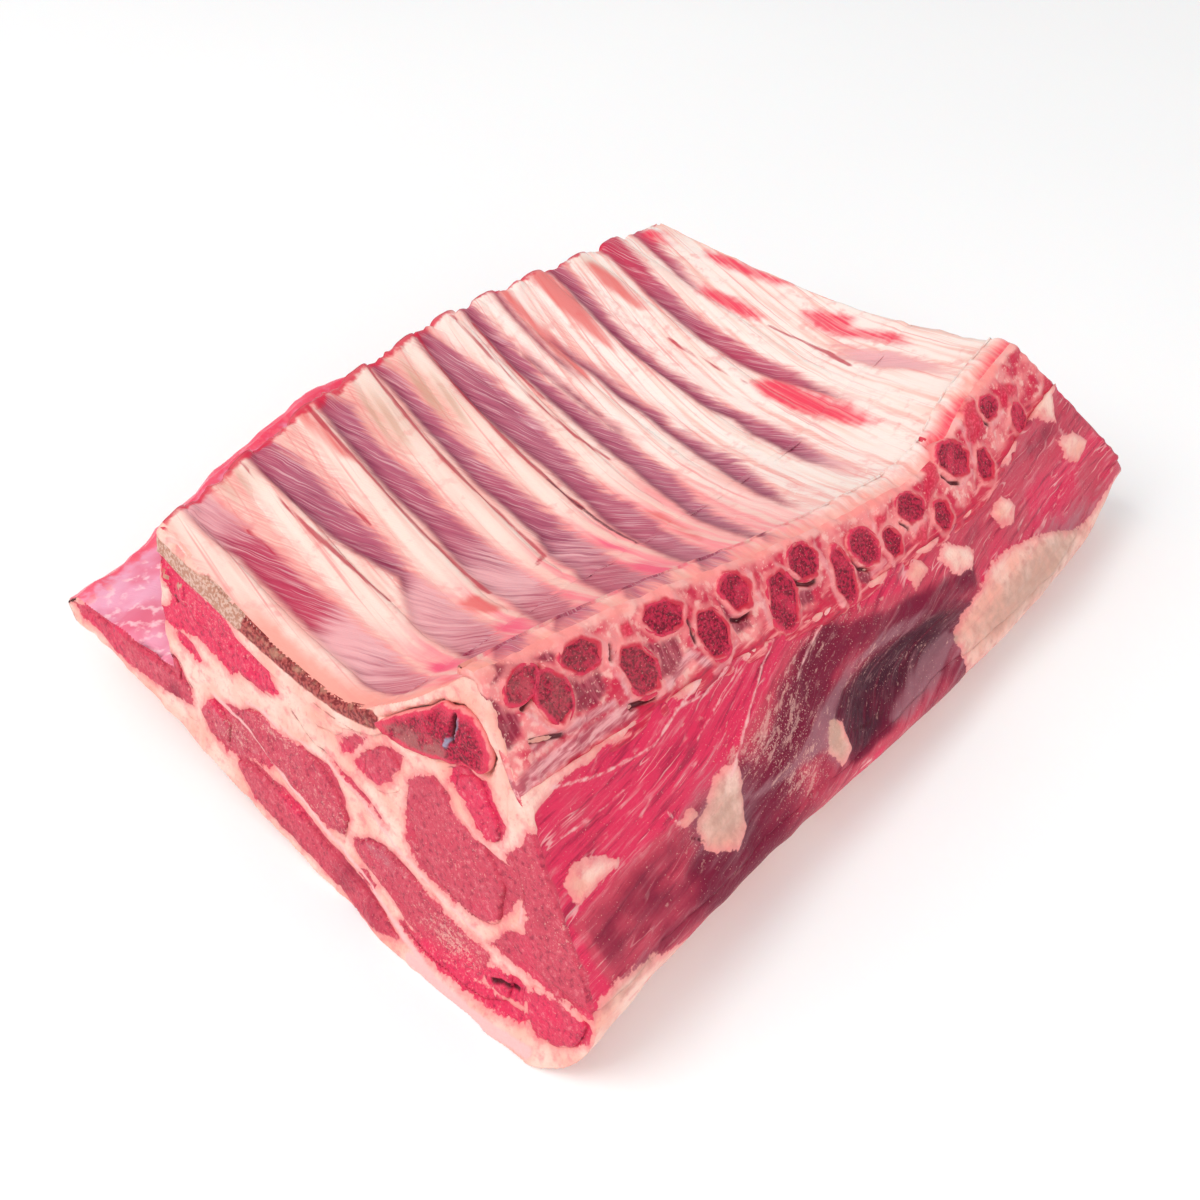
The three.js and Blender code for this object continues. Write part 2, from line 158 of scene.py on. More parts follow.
def carry(name, section, stations, grow=(1, 1), finer=True):
    """A closed piece: the section's grid carried along the rack, finer on the shoulder-end cut."""
    stations = np.asarray(stations, float)
    middle = section.reshape(-1, 2).mean(0)
    size = 1 + (np.array(grow) - 1) * stations[:, None, None, None]
    ab = middle + (section - middle) * size
    t = np.broadcast_to(stations[:, None, None], ab.shape[:3])
    points = place(t, ab[..., 0], ab[..., 1]).reshape(-1, 3)
    at = np.stack([t, ab[..., 0], ab[..., 1]], -1).reshape(-1, 3)
    ids = np.arange(len(points)).reshape(ab.shape[:3])
    sheets = [ids[0], ids[-1].T, ids[:, 0].T, ids[:, -1], ids[:, :, 0], ids[:, :, -1].T]
    quads = [np.stack([s[:-1, :-1], s[:-1, 1:], s[1:, 1:], s[1:, :-1]], -1).reshape(-1, 4)
             for s in sheets]
    cut = len(quads[0])
    quads = np.concatenate(quads)
    used, faces = np.unique(quads, return_inverse=True)
    piece = new_piece(name, points[used], faces.reshape(-1, 4).tolist(), at[used])
    if finer:
        select_faces(piece, np.arange(len(quads)) < cut)
        bpy.ops.object.mode_set(mode="EDIT")
        bpy.ops.mesh.subdivide(number_cuts=1)
        bpy.ops.object.mode_set(mode="OBJECT")
    return piece


def new_piece(name, points, faces, at):
    """A mesh object with each point's place in the section kept as an attribute."""
    mesh = bpy.data.meshes.new(name)
    mesh.from_pydata(points.tolist(), [], faces)
    piece = bpy.data.objects.new(name, mesh)
    bpy.context.scene.collection.objects.link(piece)
    keep(piece, "section", at)
    bpy.ops.object.select_all(action="DESELECT")
    piece.select_set(True)
    bpy.context.view_layer.objects.active = piece
    bpy.ops.object.mode_set(mode="EDIT")
    bpy.ops.mesh.select_all(action="SELECT")
    bpy.ops.mesh.normals_make_consistent(inside=False)
    bpy.ops.object.mode_set(mode="OBJECT")
    bpy.ops.object.shade_smooth()
    return piece


def select_faces(piece, chosen):
    """Selects the chosen faces of the active piece, and nothing else."""
    mesh = piece.data
    mesh.vertices.foreach_set("select", np.zeros(len(mesh.vertices), bool))
    mesh.edges.foreach_set("select", np.zeros(len(mesh.edges), bool))
    mesh.polygons.foreach_set("select", np.zeros(len(mesh.polygons), bool))
    bpy.ops.object.mode_set(mode="EDIT")
    bpy.ops.mesh.select_mode(type="FACE")
    bpy.ops.object.mode_set(mode="OBJECT")
    mesh.polygons.foreach_set("select", np.asarray(chosen, bool))


def keep(piece, name, values):
    """Stores one value, or one vector, for each point."""
    values = np.asarray(values, np.float32)
    old = piece.data.attributes.get(name)
    if old is not None:
        piece.data.attributes.remove(old)
    kind = "FLOAT" if values.ndim == 1 else "FLOAT_VECTOR"
    field = "value" if values.ndim == 1 else "vector"
    layer = piece.data.attributes.new(name, kind, "POINT")
    layer.data.foreach_set(field, values.ravel())


def read(piece, what="co"):
    """The points, their normals or their places in the section, one row each."""
    mesh = piece.data
    values = np.zeros(len(mesh.vertices) * 3, np.float32)
    if what == "co":
        mesh.vertices.foreach_get("co", values)
    elif what == "normal":
        mesh.vertices.foreach_get("normal", values)
    else:
        mesh.attributes[what].data.foreach_get("vector", values)
    return values.reshape(-1, 3).astype(float)


def finish(piece, modifier, **settings):
    """Adds a modifier and applies it."""
    item = piece.modifiers.new(modifier.lower(), modifier)
    for key, value in settings.items():
        setattr(item, key, value)
    bpy.context.view_layer.objects.active = piece
    bpy.ops.object.modifier_apply(modifier=item.name)


chance = np.random.default_rng(41).uniform(-1, 1, 65536)


def noise(points, size, seed=0):
    """Smooth chance values from -1 to 1 that change over about one size."""
    p = np.asarray(points) / size + 11.7 * seed + 300
    low = np.floor(p).astype(np.int64)
    f = p - low
    f = f * f * (3 - 2 * f)
    total = 0
    for dx in (0, 1):
        for dy in (0, 1):
            for dz in (0, 1):
                key = (low[:, 0] + dx) * 73856093 ^ (low[:, 1] + dy) * 19349663
                key = key ^ (low[:, 2] + dz) * 83492791
                weight = np.where(dx, f[:, 0], 1 - f[:, 0]) * np.where(dy, f[:, 1], 1 - f[:, 1])
                weight = weight * np.where(dz, f[:, 2], 1 - f[:, 2])
                total = total + weight * chance[key & 65535]
    return total


def move(piece, points):
    """Puts the piece's points in new places."""
    piece.data.vertices.foreach_set("co", points.astype(np.float32).ravel())
    piece.data.update()


def push(piece, height):
    """Moves each point out along its normal, by a height in metres."""
    move(piece, read(piece) + read(piece, "normal") * np.asarray(height)[:, None])


def beside_cut(piece):
    """Where points lie as the saw cut along the spine shows them: X from the cut end, and Z."""
    point = read(piece)
    return (point[:, 0] - ZERO_X) * 1000, point[:, 2] * 1000


def spread(*parts):
    """Joins side lines into one, dropping the points where they meet."""
    return np.concatenate([part if i == 0 else part[1:] for i, part in enumerate(parts)])


def depth_in(outline, a, b):
    """How deep points lie inside a closed outline, in millimetres, and less than 0 outside it."""
    ring = np.array(outline, float)
    nxt = np.roll(ring, -1, axis=0)
    best = np.full(a.shape, 1e9)
    inside = np.zeros(a.shape, bool)
    for (pa, pb), (qa, qb) in zip(ring, nxt):
        da, db = qa - pa, qb - pb
        u = np.clip(((a - pa) * da + (b - pb) * db) / (da * da + db * db), 0, 1)
        best = np.minimum(best, np.hypot(a - pa - u * da, b - pb - u * db))
        crosses = (pb > b) != (qb > b)
        slope = np.where(crosses, (qa - pa) * (b - pb) / (qb - pb if qb != pb else 1) + pa, 0)
        inside ^= crosses & (a < slope)
    return np.where(inside, best, -best)


def depth_along(points, half_width, a, b):
    """The same for a streak of some width along a few points."""
    best = np.full(a.shape, 1e9)
    for (pa, pb), (qa, qb) in zip(points, points[1:]):
        da, db = qa - pa, qb - pb
        u = np.clip(((a - pa) * da + (b - pb) * db) / (da * da + db * db), 0, 1)
        best = np.minimum(best, np.hypot(a - pa - u * da, b - pb - u * db))
    return half_width - best


def in_any(outlines, a, b):
    """How deep points lie inside any of several outlines."""
    return np.max([depth_in(outline, a, b) for outline in outlines], axis=0)


def along_any(streaks, a, b):
    """The same for several streaks, each given by its points and half its width."""
    return np.max([depth_along(points, width, a, b) for points, width in streaks], axis=0)


# What shows on the shoulder-end cut, as Y and Z there: the lean of each muscle with its tone,
# from 0 for bright crimson through rose to 1 for dark wine red.
END_LEAN = [
    (0.40, [(41, 41), (42.4, 38), (45.2, 32), (48.6, 28.1), (53.6, 26.4), (60, 26.4), (68, 27.4),
            (73.6, 28.7), (76.3, 32), (78, 37.6), (78.3, 44.2), (77.4, 50.9), (74.7, 54.8), (69.7, 57),
            (64.5, 54.5), (61.5, 50.5), (56, 49), (46, 48), (40.6, 47)]),
    (0.34, [(15, 23), (16, 30), (19, 40), (22, 47), (27, 54), (33, 60), (38, 62.5), (41, 60), (43, 55),
            (47, 50), (45, 46.5), (41, 46.5), (41, 41.4), (38.5, 39.5), (38, 33), (42.4, 31), (44.5, 27),
            (48, 22.2), (40, 21.8), (30, 22.4)]),
    (0.42, [(80.2, 56), (85.8, 55.3), (89.1, 53.1), (93.6, 48.7), (96.3, 44.2), (94.7, 42.4), (87, 43),
            (83, 47.6), (80.8, 52)]),
    (0.3, [(91.9, 53.8), (96.9, 52), (101, 48.1), (101, 44), (98, 45.3), (94.7, 49.8)]),
    (0.1, [(50.2, 60), (54.7, 65.6), (58, 65), (62, 66), (65, 62), (65.4, 58.4), (60, 57), (58.8, 55),
           (55.8, 50.7), (52.4, 50), (48, 53), (47.2, 57.6)]),
    (0.56, [(98, 20), (97.2, 25.3), (99, 31), (102, 35), (106, 36.8), (115, 36.8), (122, 35.6),
            (130, 36.8), (136, 35.6), (140, 33), (147, 31), (140, 29.2), (133, 27), (122, 23.4),
            (112, 20.6), (104, 18.4)]),
    (0.36, [(125.5, 23.8), (131, 26.6), (139.4, 29.6), (151, 30), (154, 27.5), (156, 23), (152, 18.6),
            (145, 16.3), (137, 19.2), (128, 21.5)]),
    (0.3, [(47, 20), (56, 20.6), (66, 22.2), (76, 25), (84, 26.4), (90, 24.6), (96.4, 20.4), (93, 17),
            (86, 15), (79, 12.6), (75, 9.4), (66, 7.8), (56, 8), (48, 9.6)]),
    (0.26, [(31, 13), (36, 10.6), (48, 9.4), (60, 7.6), (75, 9), (77, 7.2), (66, 4.8), (52, 4.2), (40, 5.6),
            (33, 8.6)]),
    (0.14, [(33.6, 17.6), (38, 19), (44, 18), (49.4, 14), (47, 10.6), (40, 11), (34.6, 12.8)]),
    (0.36, [(14.5, 20.8), (17, 21.6), (26, 21.4), (33, 20), (34.7, 16.4), (33, 12), (30.2, 7.8),
            (23.6, 8.6), (18, 13), (15.2, 17)]),
    (0.44, [(74.6, 4.2), (80, 6), (88, 9.4), (100, 13.2), (112, 16.8), (120, 18.8), (134, 19.8), (141, 18.2),
            (139, 14), (133, 8.5), (120, 6.5), (105, 4), (96, 2), (92, 0), (84, 1)]),
    (0.25, [(85.6, 13), (90, 14.6), (93, 13), (90, 10), (86.6, 10)]),
    (0.36, [(159.5, 22.5), (160.5, 27.5), (164, 31), (168, 34), (174, 34), (184, 31.6), (196, 29.6),
            (208, 28), (216, 25), (206, 23), (199.5, 21.6), (195, 19.4), (184, 19.6), (176, 20.2),
            (165, 21.4)]),
    (0.08, [(124.4, 47), (128, 52), (139.4, 55), (144, 58.4), (156.8, 60.8), (169.5, 62), (174.4, 63.4),
            (172.4, 57.6), (168.6, 54), (170, 48.6), (176.4, 43.9), (180, 40.6), (174, 42.2), (166, 43.4),
            (155.6, 44.4), (143, 41.8), (140, 45), (131.3, 44)]),
    (0.12, [(154.5, 39), (160.2, 42), (165.4, 43), (167.4, 41.4), (162.5, 38.6), (157, 37.8)]),
    (0.5, [(83.6, 33), (90, 36.4), (98, 38.6), (106, 40), (98, 37), (90, 34.6)]),
]
END_MARROW = [([(90, 60.6), (96, 58.8), (103, 57.8), (115, 57.8), (127, 58.8), (142, 60.4)], 2.3),
              ([(94, 54.2), (102, 53.4), (112, 53.8), (120, 54.4)], 0.35)]
END_GREY = [([(141, 60.6), (150, 62.2), (161, 63.6), (173, 65.4)], 2.8)]
END_DARK = [([(121, 46.5), (115, 42.5), (111, 40.4), (106, 39.4)], 0.1),
            ([(170, 34.4), (165, 32.6), (160, 28)], 0.1), ([(38, 15.4), (42, 14.8), (45, 12.8)], 0.8),
            ([(57, 66), (61, 64.6), (67, 61.4)], 0.1), ([(166.4, 53), (167, 51)], 0.6)]
END_PALE = [([(60, 2), (78, 6.6), (97, 15), (118, 22), (138, 29.6), (150, 31.5)], 0.7),
            ([(50, 22.6), (62, 24.4), (78, 28.6), (92, 35), (108, 38.5), (122, 38)], 0.4),
            ([(46, 48.6), (54, 49.6), (61, 53)], 0.15), ([(40, 40), (39.6, 36), (42, 32)], 0.4),
            ([(30, 3), (50, 1), (70, 2)], 1.6), ([(176, 37.4), (182, 38), (186, 35)], 0.9),
            ([(20, 46), (26, 45), (34, 50)], 0.0), ([(24, 27), (30, 36), (34, 50)], -0.1),
            ([(124, 37), (130, 38.4), (137, 37)], 0.5), ([(44, 42), (52, 45), (60, 44)], -0.2)]
# The outline of the first vertebra on that cut
END_BONE = [(90, 59.4), (86, 63.6), (80, 69), (73.5, 74), (69.5, 78), (66.5, 78.4), (63, 80), (57.4, 78.4),
            (53.4, 73), (54.4, 68), (60, 66.6), (68, 63.4), (78, 60)]
END_HAZE = [((143, 23), (13, 6), 0.35), ((60, 15), (12, 5), 0.1), ((85, 23), (8, 3), 0.5)]
END_GRIT = [((58, 15), (11, 6), 1.3), ((143, 24), (9, 5), 0.8), ((126, 34.6), (12, 2.4), 0.9),
            ((150, 54), (20, 7), 0.5), ((60, 41), (16, 9), 0.25), ((30, 45), (9, 12), 0.4),
            ((105, 24), (34, 9), 0.6)]

# The same for the saw cut along the spine, as X and Z
CHINE_FAT = [[(8, 71), (20, 69.5), (34, 67.5), (44, 66), (34, 64.6), (24, 66), (14, 64), (10, 59),
              (8, 60)],
             [(12, 49.5), (16, 50.5), (21, 49), (28, 45), (27, 43.5), (20, 44.5), (13, 44)],
             [(50, 33), (52, 38), (58, 39), (62, 43), (70, 43), (69, 38), (67, 34), (65, 29),
              (59, 27), (53, 30)], [(100, 30), (104, 33), (107, 30), (106, 24), (101, 23), (99, 27)],
             [(4, 27), (12, 28), (26, 25), (24, 23), (8, 22)],
             [(46, 41.5), (52, 41), (55, 38), (49, 38.8)],
             [(150, 46), (157, 47), (160, 43), (152, 42)],
             [(165, 43), (170, 45), (176, 41), (181, 38), (176, 35), (168, 37)],
             [(194, 42), (201, 43), (206, 38), (202, 35), (196, 36)],
             [(160, 12), (161, 22), (172, 28.5), (186, 32), (196, 31), (212, 27), (230, 20), (228, 12)],
             [(228, 62), (237, 60), (243, 52), (239, 46), (231, 51)],
             [(236, 43), (246, 41), (252, 36), (244, 33), (237, 37)]]
CHINE_PALE = [([(20, 66), (34, 61), (50, 58), (66, 60), (80, 62)], 0.5),
              ([(14, 57), (26, 55), (40, 55)], 0.4), ([(60, 60), (72, 57), (86, 60)], 0.45),
              ([(66, 41), (76, 46), (90, 52), (101, 58)], 0.5), ([(104, 32), (116, 36), (132, 37.5)],
              0.25), ([(47, 41), (45, 45)], 0.5), ([(62, 52), (74, 54), (88, 57)], 0.35),
              ([(100, 45), (112, 50), (126, 55)], 0.5), ([(105, 19), (110, 17.5), (117, 19.5)], 0.6)]
CHINE_DARK = [([(49, 36), (51, 34)], 0.3), ([(110, 26), (116, 24), (124, 22.6)], 0.2),
              ([(86, 50), (96, 54), (102, 57)], 0.1)]
CHINE_SHADE = [((50, 54), (24, 7), -0.2), ((205, 33), (8, 4), 0.3), ((228, 46), (12, 6), 0.2),
               ((246, 28), (8, 5), 0.2), ((185, 40), (10, 6), 0.2), ((62, 27), (22, 6), 0.2),
               ((112, 17), (12, 3), -0.5)]
# Darker lean over the lower part of the saw cut, the deep hollow, and the grey skin along the hollow
CHINE_DEEP = [[(10, 42), (24, 41), (45, 42), (60, 42), (72, 45), (88, 47), (100, 51), (116, 51),
               (140, 44), (160, 40), (178, 36), (176, 20), (165, 6), (60, 6), (40, 20), (10, 24)]]
CHINE_HOLLOW = [[(104, 33), (112, 35), (126, 33.5), (140, 34), (158, 32), (172, 27), (160, 23), (140, 21),
                 (120, 20), (106, 22)]]
CHINE_SKIN = [[(70, 33), (90, 29.6), (104, 29), (106, 33), (122, 36.4), (142, 35), (152, 36.6), (138, 39),
               (118, 39), (104, 35.6), (86, 32.6)],
              [(124, 21), (140, 22), (160, 24), (162, 22), (150, 19), (130, 18)]]
CHINE_HAZE = [((60, 35), (13, 9), 0.8), ((200, 20), (48, 9), 0.9), ((15, 25), (16, 3), 0.7),
              ((102, 28), (5, 7), 0.8), ((225, 58), (16, 8), 0.2), ((212, 47), (16, 5), 0.3)]
CHINE_GRIT = [((76, 42), (12, 6), 0.9), ((92, 40), (14, 6), 0.8), ((88, 28), (12, 6), 1.1),
              ((104, 48), (14, 5), 0.6), ((126, 36), (16, 4), 0.7), ((130, 48), (16, 5), 0.5),
              ((145, 25), (16, 4), 0.5), ((52, 35), (10, 6), 0.5)]
chine_slope = rail([0, 1, 5, 14, 25, 33, 37, 40, 42])   # how the grain climbs along the saw cut
CHINE_LENGTH = 270.0


def from_saw_cut(a, b):
    """How far in from the saw cut along the spine a point of the section lies."""
    return a - CHINE_FOOT - CHINE_LEAN * b


def sum_of(bumps, a, b):
    """Soft round patches, each given by its middle, its half sizes and its strength."""
    total = np.zeros(a.shape)
    for (ma, mb), (ra, rb), amount in bumps:
        total = total + amount * np.exp(-((a - ma) / ra) ** 2 - ((b - mb) / rb) ** 2)
    return total


def end_tissue(a, b):
    """What the shoulder-end cut shows at (a, b): depth in lean, its tone, and the rest."""
    lean = np.full(a.shape, -9.0)
    tone = np.zeros(a.shape)
    for shade, outline in END_LEAN:
        depth = depth_in(outline, a, b)
        tone = np.where(depth > lean, shade, tone)
        lean = np.maximum(lean, depth)
    grey = along_any(END_GREY, a, b)
    haze = np.maximum(sum_of(END_HAZE, a, b), 0.35 * blend(-0.8, 0.8, grey))
    marrow = np.maximum(along_any(END_MARROW, a, b), grey)
    return (lean, tone, marrow, along_any(END_DARK, a, b), along_any(END_PALE, a, b), haze,
            sum_of(END_GRIT, a, b))


def chine_tissue(x, z, t):
    """The same for the saw cut along the spine, at x along it and z up."""
    top = 68 * spine_rail(t) / 90.5 + 1.5 * np.sin(x * 0.26)
    foot = np.interp(x, [0, 28, 42, 60, 100, 160, 176, 200, 270], [26, 23, 16, 11, 8, 9, 14, 19, 20])
    lean = np.minimum(top - z, z - foot)
    lean = np.minimum(lean, -in_any(CHINE_FAT, x, z))
    deep = blend(-2.5, 2.5, in_any(CHINE_DEEP, x, z))
    hollow = blend(-3.5, 2.5, in_any(CHINE_HOLLOW, x, z))
    tone = 0.2 + 0.12 * blend(150, 200, x) + 0.5 * deep + 0.5 * hollow + sum_of(CHINE_SHADE, x, z)
    haze = 0.7 * blend(-1.5, 1.2, in_any(CHINE_SKIN, x, z)) + sum_of(CHINE_HAZE, x, z)
    return (lean, np.clip(tone, 0, 1.25), 0 * x - 6, along_any(CHINE_DARK, x, z),
            along_any(CHINE_PALE, x, z), haze, sum_of(CHINE_GRIT, x, z))


TISSUES = ("lean", "tone", "marrow", "dark", "pale", "haze", "grit")
ELSEWHERE = (-6.0, 0.4, -6.0, -6.0, -6.0, 0.0, 0.0)     # what shows away from the cuts: plain fat
END_SHARE = 0.006               # the part of the length that counts as the shoulder-end cut
FAR_SHARE = 0.995               # and where the loin-end cut starts
COVER_DEPTH = 6                 # where the fat cover starts, in from the saw cut
COVER_HEIGHT = 7                # and up from the board


def mark_cuts(piece):
    """Keeps what a piece's cut faces show at each of its points."""
    t, a, b = read(piece, "section").T
    x, z = beside_cut(piece)
    on_end = t < END_SHARE
    end = end_tissue(a, b)
    chine = chine_tissue(x, z, t)
    cover = (from_saw_cut(a, b) > COVER_DEPTH) | (z < COVER_HEIGHT)
    marks = {}
    for k, name in enumerate(TISSUES):
        away = end[k] if name == "lean" else ELSEWHERE[k]
        chosen = np.where(cover, np.where(t > FAR_SHARE, away, ELSEWHERE[k]), chine[k])
        marks[name] = np.where(on_end, end[k], chosen)
        keep(piece, name, marks[name])
    keep(piece, "flow", z - np.where(cover | on_end, 0, chine_slope(x / CHINE_LENGTH)))
    return marks


# The ribs as they lie in the wall: every other rib's place along the rack, how far each leans
# towards the shoulder end on its way down to the spine, and the muscle that shows beside each
RIBS = 10
RIB_START = 84.0                # Y of a rib's head
RIB_PROUD = 1.8                 # how far its sawn end stands out of the wall
RIB_LEVEL = 0.63                # the part of its run at which its place is given
RIB_HALF_WIDTH = 4.6
RIB_WIDENING = 1.2
RACK_LENGTH = 228.0             # millimetres along the inner face, as its places are given below
MAP_SLANT = 0.05                # how the places below lean along the rack for each millimetre of Y
MAP_MIDDLE = 124
rib_place = rail([0.017, 0.232, 0.427, 0.594, 0.781, 0.94])
rib_lean = rail([0.005, 0.078, 0.102, 0.083, 0.08, 0.05])


def rib_centre(i, a):
    """How far along the rack rib i lies, a from the saw cut."""
    u = np.minimum((a - RIB_START) / (RIB_END + RIB_PROUD - RIB_START), 1)
    return rib_place(i / RIBS) + rib_lean(i / RIBS) * (u - RIB_LEVEL)


def rib_half_width(a):
    """Half the width of a rib, which widens from its head to its middle."""
    return RIB_HALF_WIDTH + RIB_WIDENING * blend(0, 0.5, (a - RIB_START) / (RIB_END - RIB_START))


# The muscle between each two ribs, from the rib ends down to the spine: Y there, its two edges
# along the rack, how white the membrane over it is, and how red it is
WEDGES = [
    [(173, 8, 18, 0.6, 0.2), (162, 8.5, 18.5, 0.45, 0.3), (152, 11, 20, 0.1, 0.6), (140, 11, 20.5, 0, 0.7),
     (128, 10.5, 20.5, 0.1, 0.8), (118, 9.5, 20.5, 0.75, 0.6), (108, 9, 20, 0.6, 0.1),
     (98, 6, 17.5, 0.4, 0.4), (90, 5.5, 14, 0.3, 0.5), (84, 7, 11, 0.3, 0.5)],
    [(173, 36, 46, 0, 0.3), (160, 36, 48.5, 0, 0), (150, 36.3, 47.5, 0, 0), (140, 36.5, 46.5, 0.05, 0.1),
     (130, 38, 45, 0.15, 0.1), (122, 39.5, 43.6, 0.2, 0.1), (116, 35, 42.5, 0.6, 0.2),
     (109, 30, 42, 0.6, 0.3), (100, 28.5, 41, 0.5, 0.3), (90, 25, 37, 0.35, 0.3),
     (80, 19.5, 29, 0.1, 0.4), (70, 13.5, 22, 0, 0.3), (62, 7, 16, 0, 0.3)],
    [(173, 67, 71, 0, 0.6), (165, 66, 75.5, 0.1, 0), (158, 64.5, 72.5, 0, 0), (150, 62.5, 70.5, 0, 0),
     (140, 60.5, 70, 0, 0.1), (130, 59, 67, 0.05, 0.1), (121, 56, 66, 0.15, 0.1), (112, 53, 64.8, 0.5, 0),
     (104, 51.5, 63.5, 0.55, 0), (96, 50, 60.5, 0.5, 0.1), (90, 46.5, 58, 0.3, 0.4),
     (80, 40, 50.5, 0.05, 0.4), (70, 33, 42, 0, 0.3), (62, 25, 36, 0, 0.3)],
    [(173, 91.5, 95, 0.1, 0.6), (165, 91, 97, 0.3, 0.1), (157, 89, 94.5, 0.1, 0), (150, 87, 92.8, 0, 0),
     (140, 84, 90.5, 0, 0), (130, 81, 88.5, 0, 0.1), (120, 79.5, 87, 0, 0.1), (110, 77, 85.3, 0.1, 0),
     (102, 72.5, 84, 0.35, 0), (92, 69, 80.3, 0.35, 0.1), (86, 63.5, 76.5, 0.25, 0.3),
     (80, 60, 73, 0.15, 0.3), (70, 53, 66, 0, 0.2), (62, 47, 61, 0, 0.2)],
    [(173, 113, 119.5, 0.1, 0.4), (165, 110.5, 119, 0.15, 0), (157, 108, 118.5, 0, 0),
     (150, 105.5, 118, 0, 0), (140, 103.5, 116, 0, 0), (130, 102, 112, 0, 0), (120, 100, 107.5, 0, 0),
     (110, 97, 105, 0, 0.1), (100, 92.8, 103, 0.05, 0.2), (90, 89, 98.8, 0.05, 0.2), (80, 84, 92, 0, 0.1),
     (70, 78.5, 86.5, 0, 0.1), (62, 72, 81, 0, 0.1)],
    [(173, 134, 139, 0, 0.2), (162, 131.5, 136.5, 0, 0), (152, 128, 134, 0, 0), (142, 126, 130.5, 0, 0),
     (132, 123.5, 129, 0, 0), (120, 119.8, 127.5, 0, 0), (110, 117.5, 124.5, 0, 0),
     (100, 113.5, 121.5, 0.05, 0), (92, 110, 116, 0, 0), (84, 105, 111, 0, 0), (74, 101, 105, 0, 0),
     (64, 97, 99.5, 0, 0)],
    [(152, 146, 148, 0, 0.2), (140, 144.6, 147.2, 0, 0), (130, 141.8, 145.3, 0, 0),
     (120, 140.2, 144.3, 0, 0), (112, 138, 141, 0, 0), (104, 135.5, 140.3, 0, 0),
     (96, 132.5, 138.8, 0, 0), (88, 128.5, 135, 0, 0), (80, 124, 129, 0, 0), (73, 121, 123, 0, 0)],
    [(173, 173, 180, 0, 0.3), (165, 171.5, 177.5, 0, 0.1), (157, 168.5, 174, 0, 0),
     (150, 165.5, 169.5, 0, 0), (140, 162, 166.3, 0, 0), (130, 159.8, 163.2, 0, 0),
     (120, 157.5, 161.8, 0, 0.1), (112, 155.5, 160.5, 0.1, 0), (104, 156, 160, 0.1, 0.1),
     (96, 152, 158.8, 0.1, 0.1), (88, 149.8, 157.3, 0.1, 0.1), (80, 146.8, 152.5, 0.3, 0),
     (74, 146.5, 149.5, 0.6, 0)],
    [(173, 199, 209, 0, 1), (165, 196, 206, 0, 0.9), (157, 193, 201.5, 0, 0.7), (150, 189.5, 197, 0, 0.3),
     (140, 186, 192.5, 0, 0.1), (130, 183, 190.3, 0, 0.3), (120, 181, 188.5, 0, 0.5),
     (110, 180, 186.5, 0.1, 0.3), (102, 180, 185.5, 0.1, 0.4), (94, 180.5, 183.2, 0.2, 0.1),
     (88, 180.5, 181.5, 0.3, 0)],
    [(173, 216, 222, 0, 0.9), (165, 213.5, 218, 0, 0.7), (157, 209.5, 213.5, 0.1, 0.4),
     (150, 206, 209, 0.3, 0.1), (143, 204, 206, 0.6, 0)],
    [(94, 200, 205, 0.8, 0.1), (84, 200, 208, 0.7, 0.1), (73, 203, 206, 0.8, 0)],
    [(172, 149, 151, 0, 0.3), (160, 144.2, 146, 0, 0.3), (150, 141, 142.4, 0, 0.2),
     (142, 139.4, 140.6, 0.4, 0)],
    [(152, 134.6, 136.2, 0.3, 0), (136, 131.4, 133, 0.2, 0), (120, 127.8, 129.6, 0.4, 0)],
]
# Thin crimson veins along the ribs, raw spots, and where the skin is tan, salmon or bright pink
VEINS = [([(33.4, 172), (33, 150), (32.4, 132), (31.4, 118)], 0.35),
         ([(64.4, 172), (61.6, 155), (59.6, 143), (56, 128), (52.6, 112), (51, 103)], 0.55),
         ([(91.4, 172), (87.4, 160), (83.4, 148), (80, 135), (76.6, 120), (73, 107), (71.6, 103), (66, 101)],
          0.5), ([(114.4, 172), (108.6, 158), (103.6, 144), (100, 132), (97, 120), (94, 109)], 0.5),
         ([(129.4, 170), (125.4, 156), (121.4, 142), (118, 128), (116.6, 116)], 0.3),
         ([(133, 166), (127.4, 150), (124.4, 140)], 0.25), ([(19.6, 156), (20.2, 146), (20.4, 138)], -0.1),
         ([(175.6, 136), (174, 122), (172.6, 110)], 0.3), ([(49, 150), (47.4, 138)], 0.0),
         ([(203, 120), (201.8, 108), (200.4, 99), (197, 91)], 0.45)]
DARK_VEINS = [([(97, 121), (94.4, 110), (92, 101), (89, 92), (87, 87)], 0.3),
              ([(41.6, 116), (42, 108), (41, 101)], -0.25)]
RED_SPOTS = [[(170, 78), (169, 90), (170, 102), (173, 108), (178, 108), (181, 103), (179, 92), (178, 84),
              (174, 76)],
             [(201.5, 132), (203, 142), (208, 143), (208.6, 132), (206, 124), (203.6, 124)],
             [(210, 101), (211, 110), (215, 116), (219, 114), (221, 106), (223, 102.6), (216.6, 100),
              (219, 86), (214, 82), (212.6, 92)],
             [(221.6, 146), (223, 151), (227, 152), (229, 140), (228, 126), (224, 128)],
             [(218, 168), (222, 171), (225, 166), (220, 160)], [(2, 70), (8, 78), (9, 77), (3, 68)],
             [(160, 60), (168, 64.4), (176, 64), (188, 62.6), (196, 60)],
             [(198, 60), (206, 62.4), (226, 63), (226, 60)]]
WORN = [((79, 158), (9, 14), 0.9), ((99, 157), (7, 16), 1.0), ((28, 168), (9, 8), 0.7),
        ((52, 168), (6, 7), 0.4), ((188, 166), (4, 9), 0.7), ((116, 128), (4, 12), 0.4),
        ((64, 117), (4, 6), 0.2)]
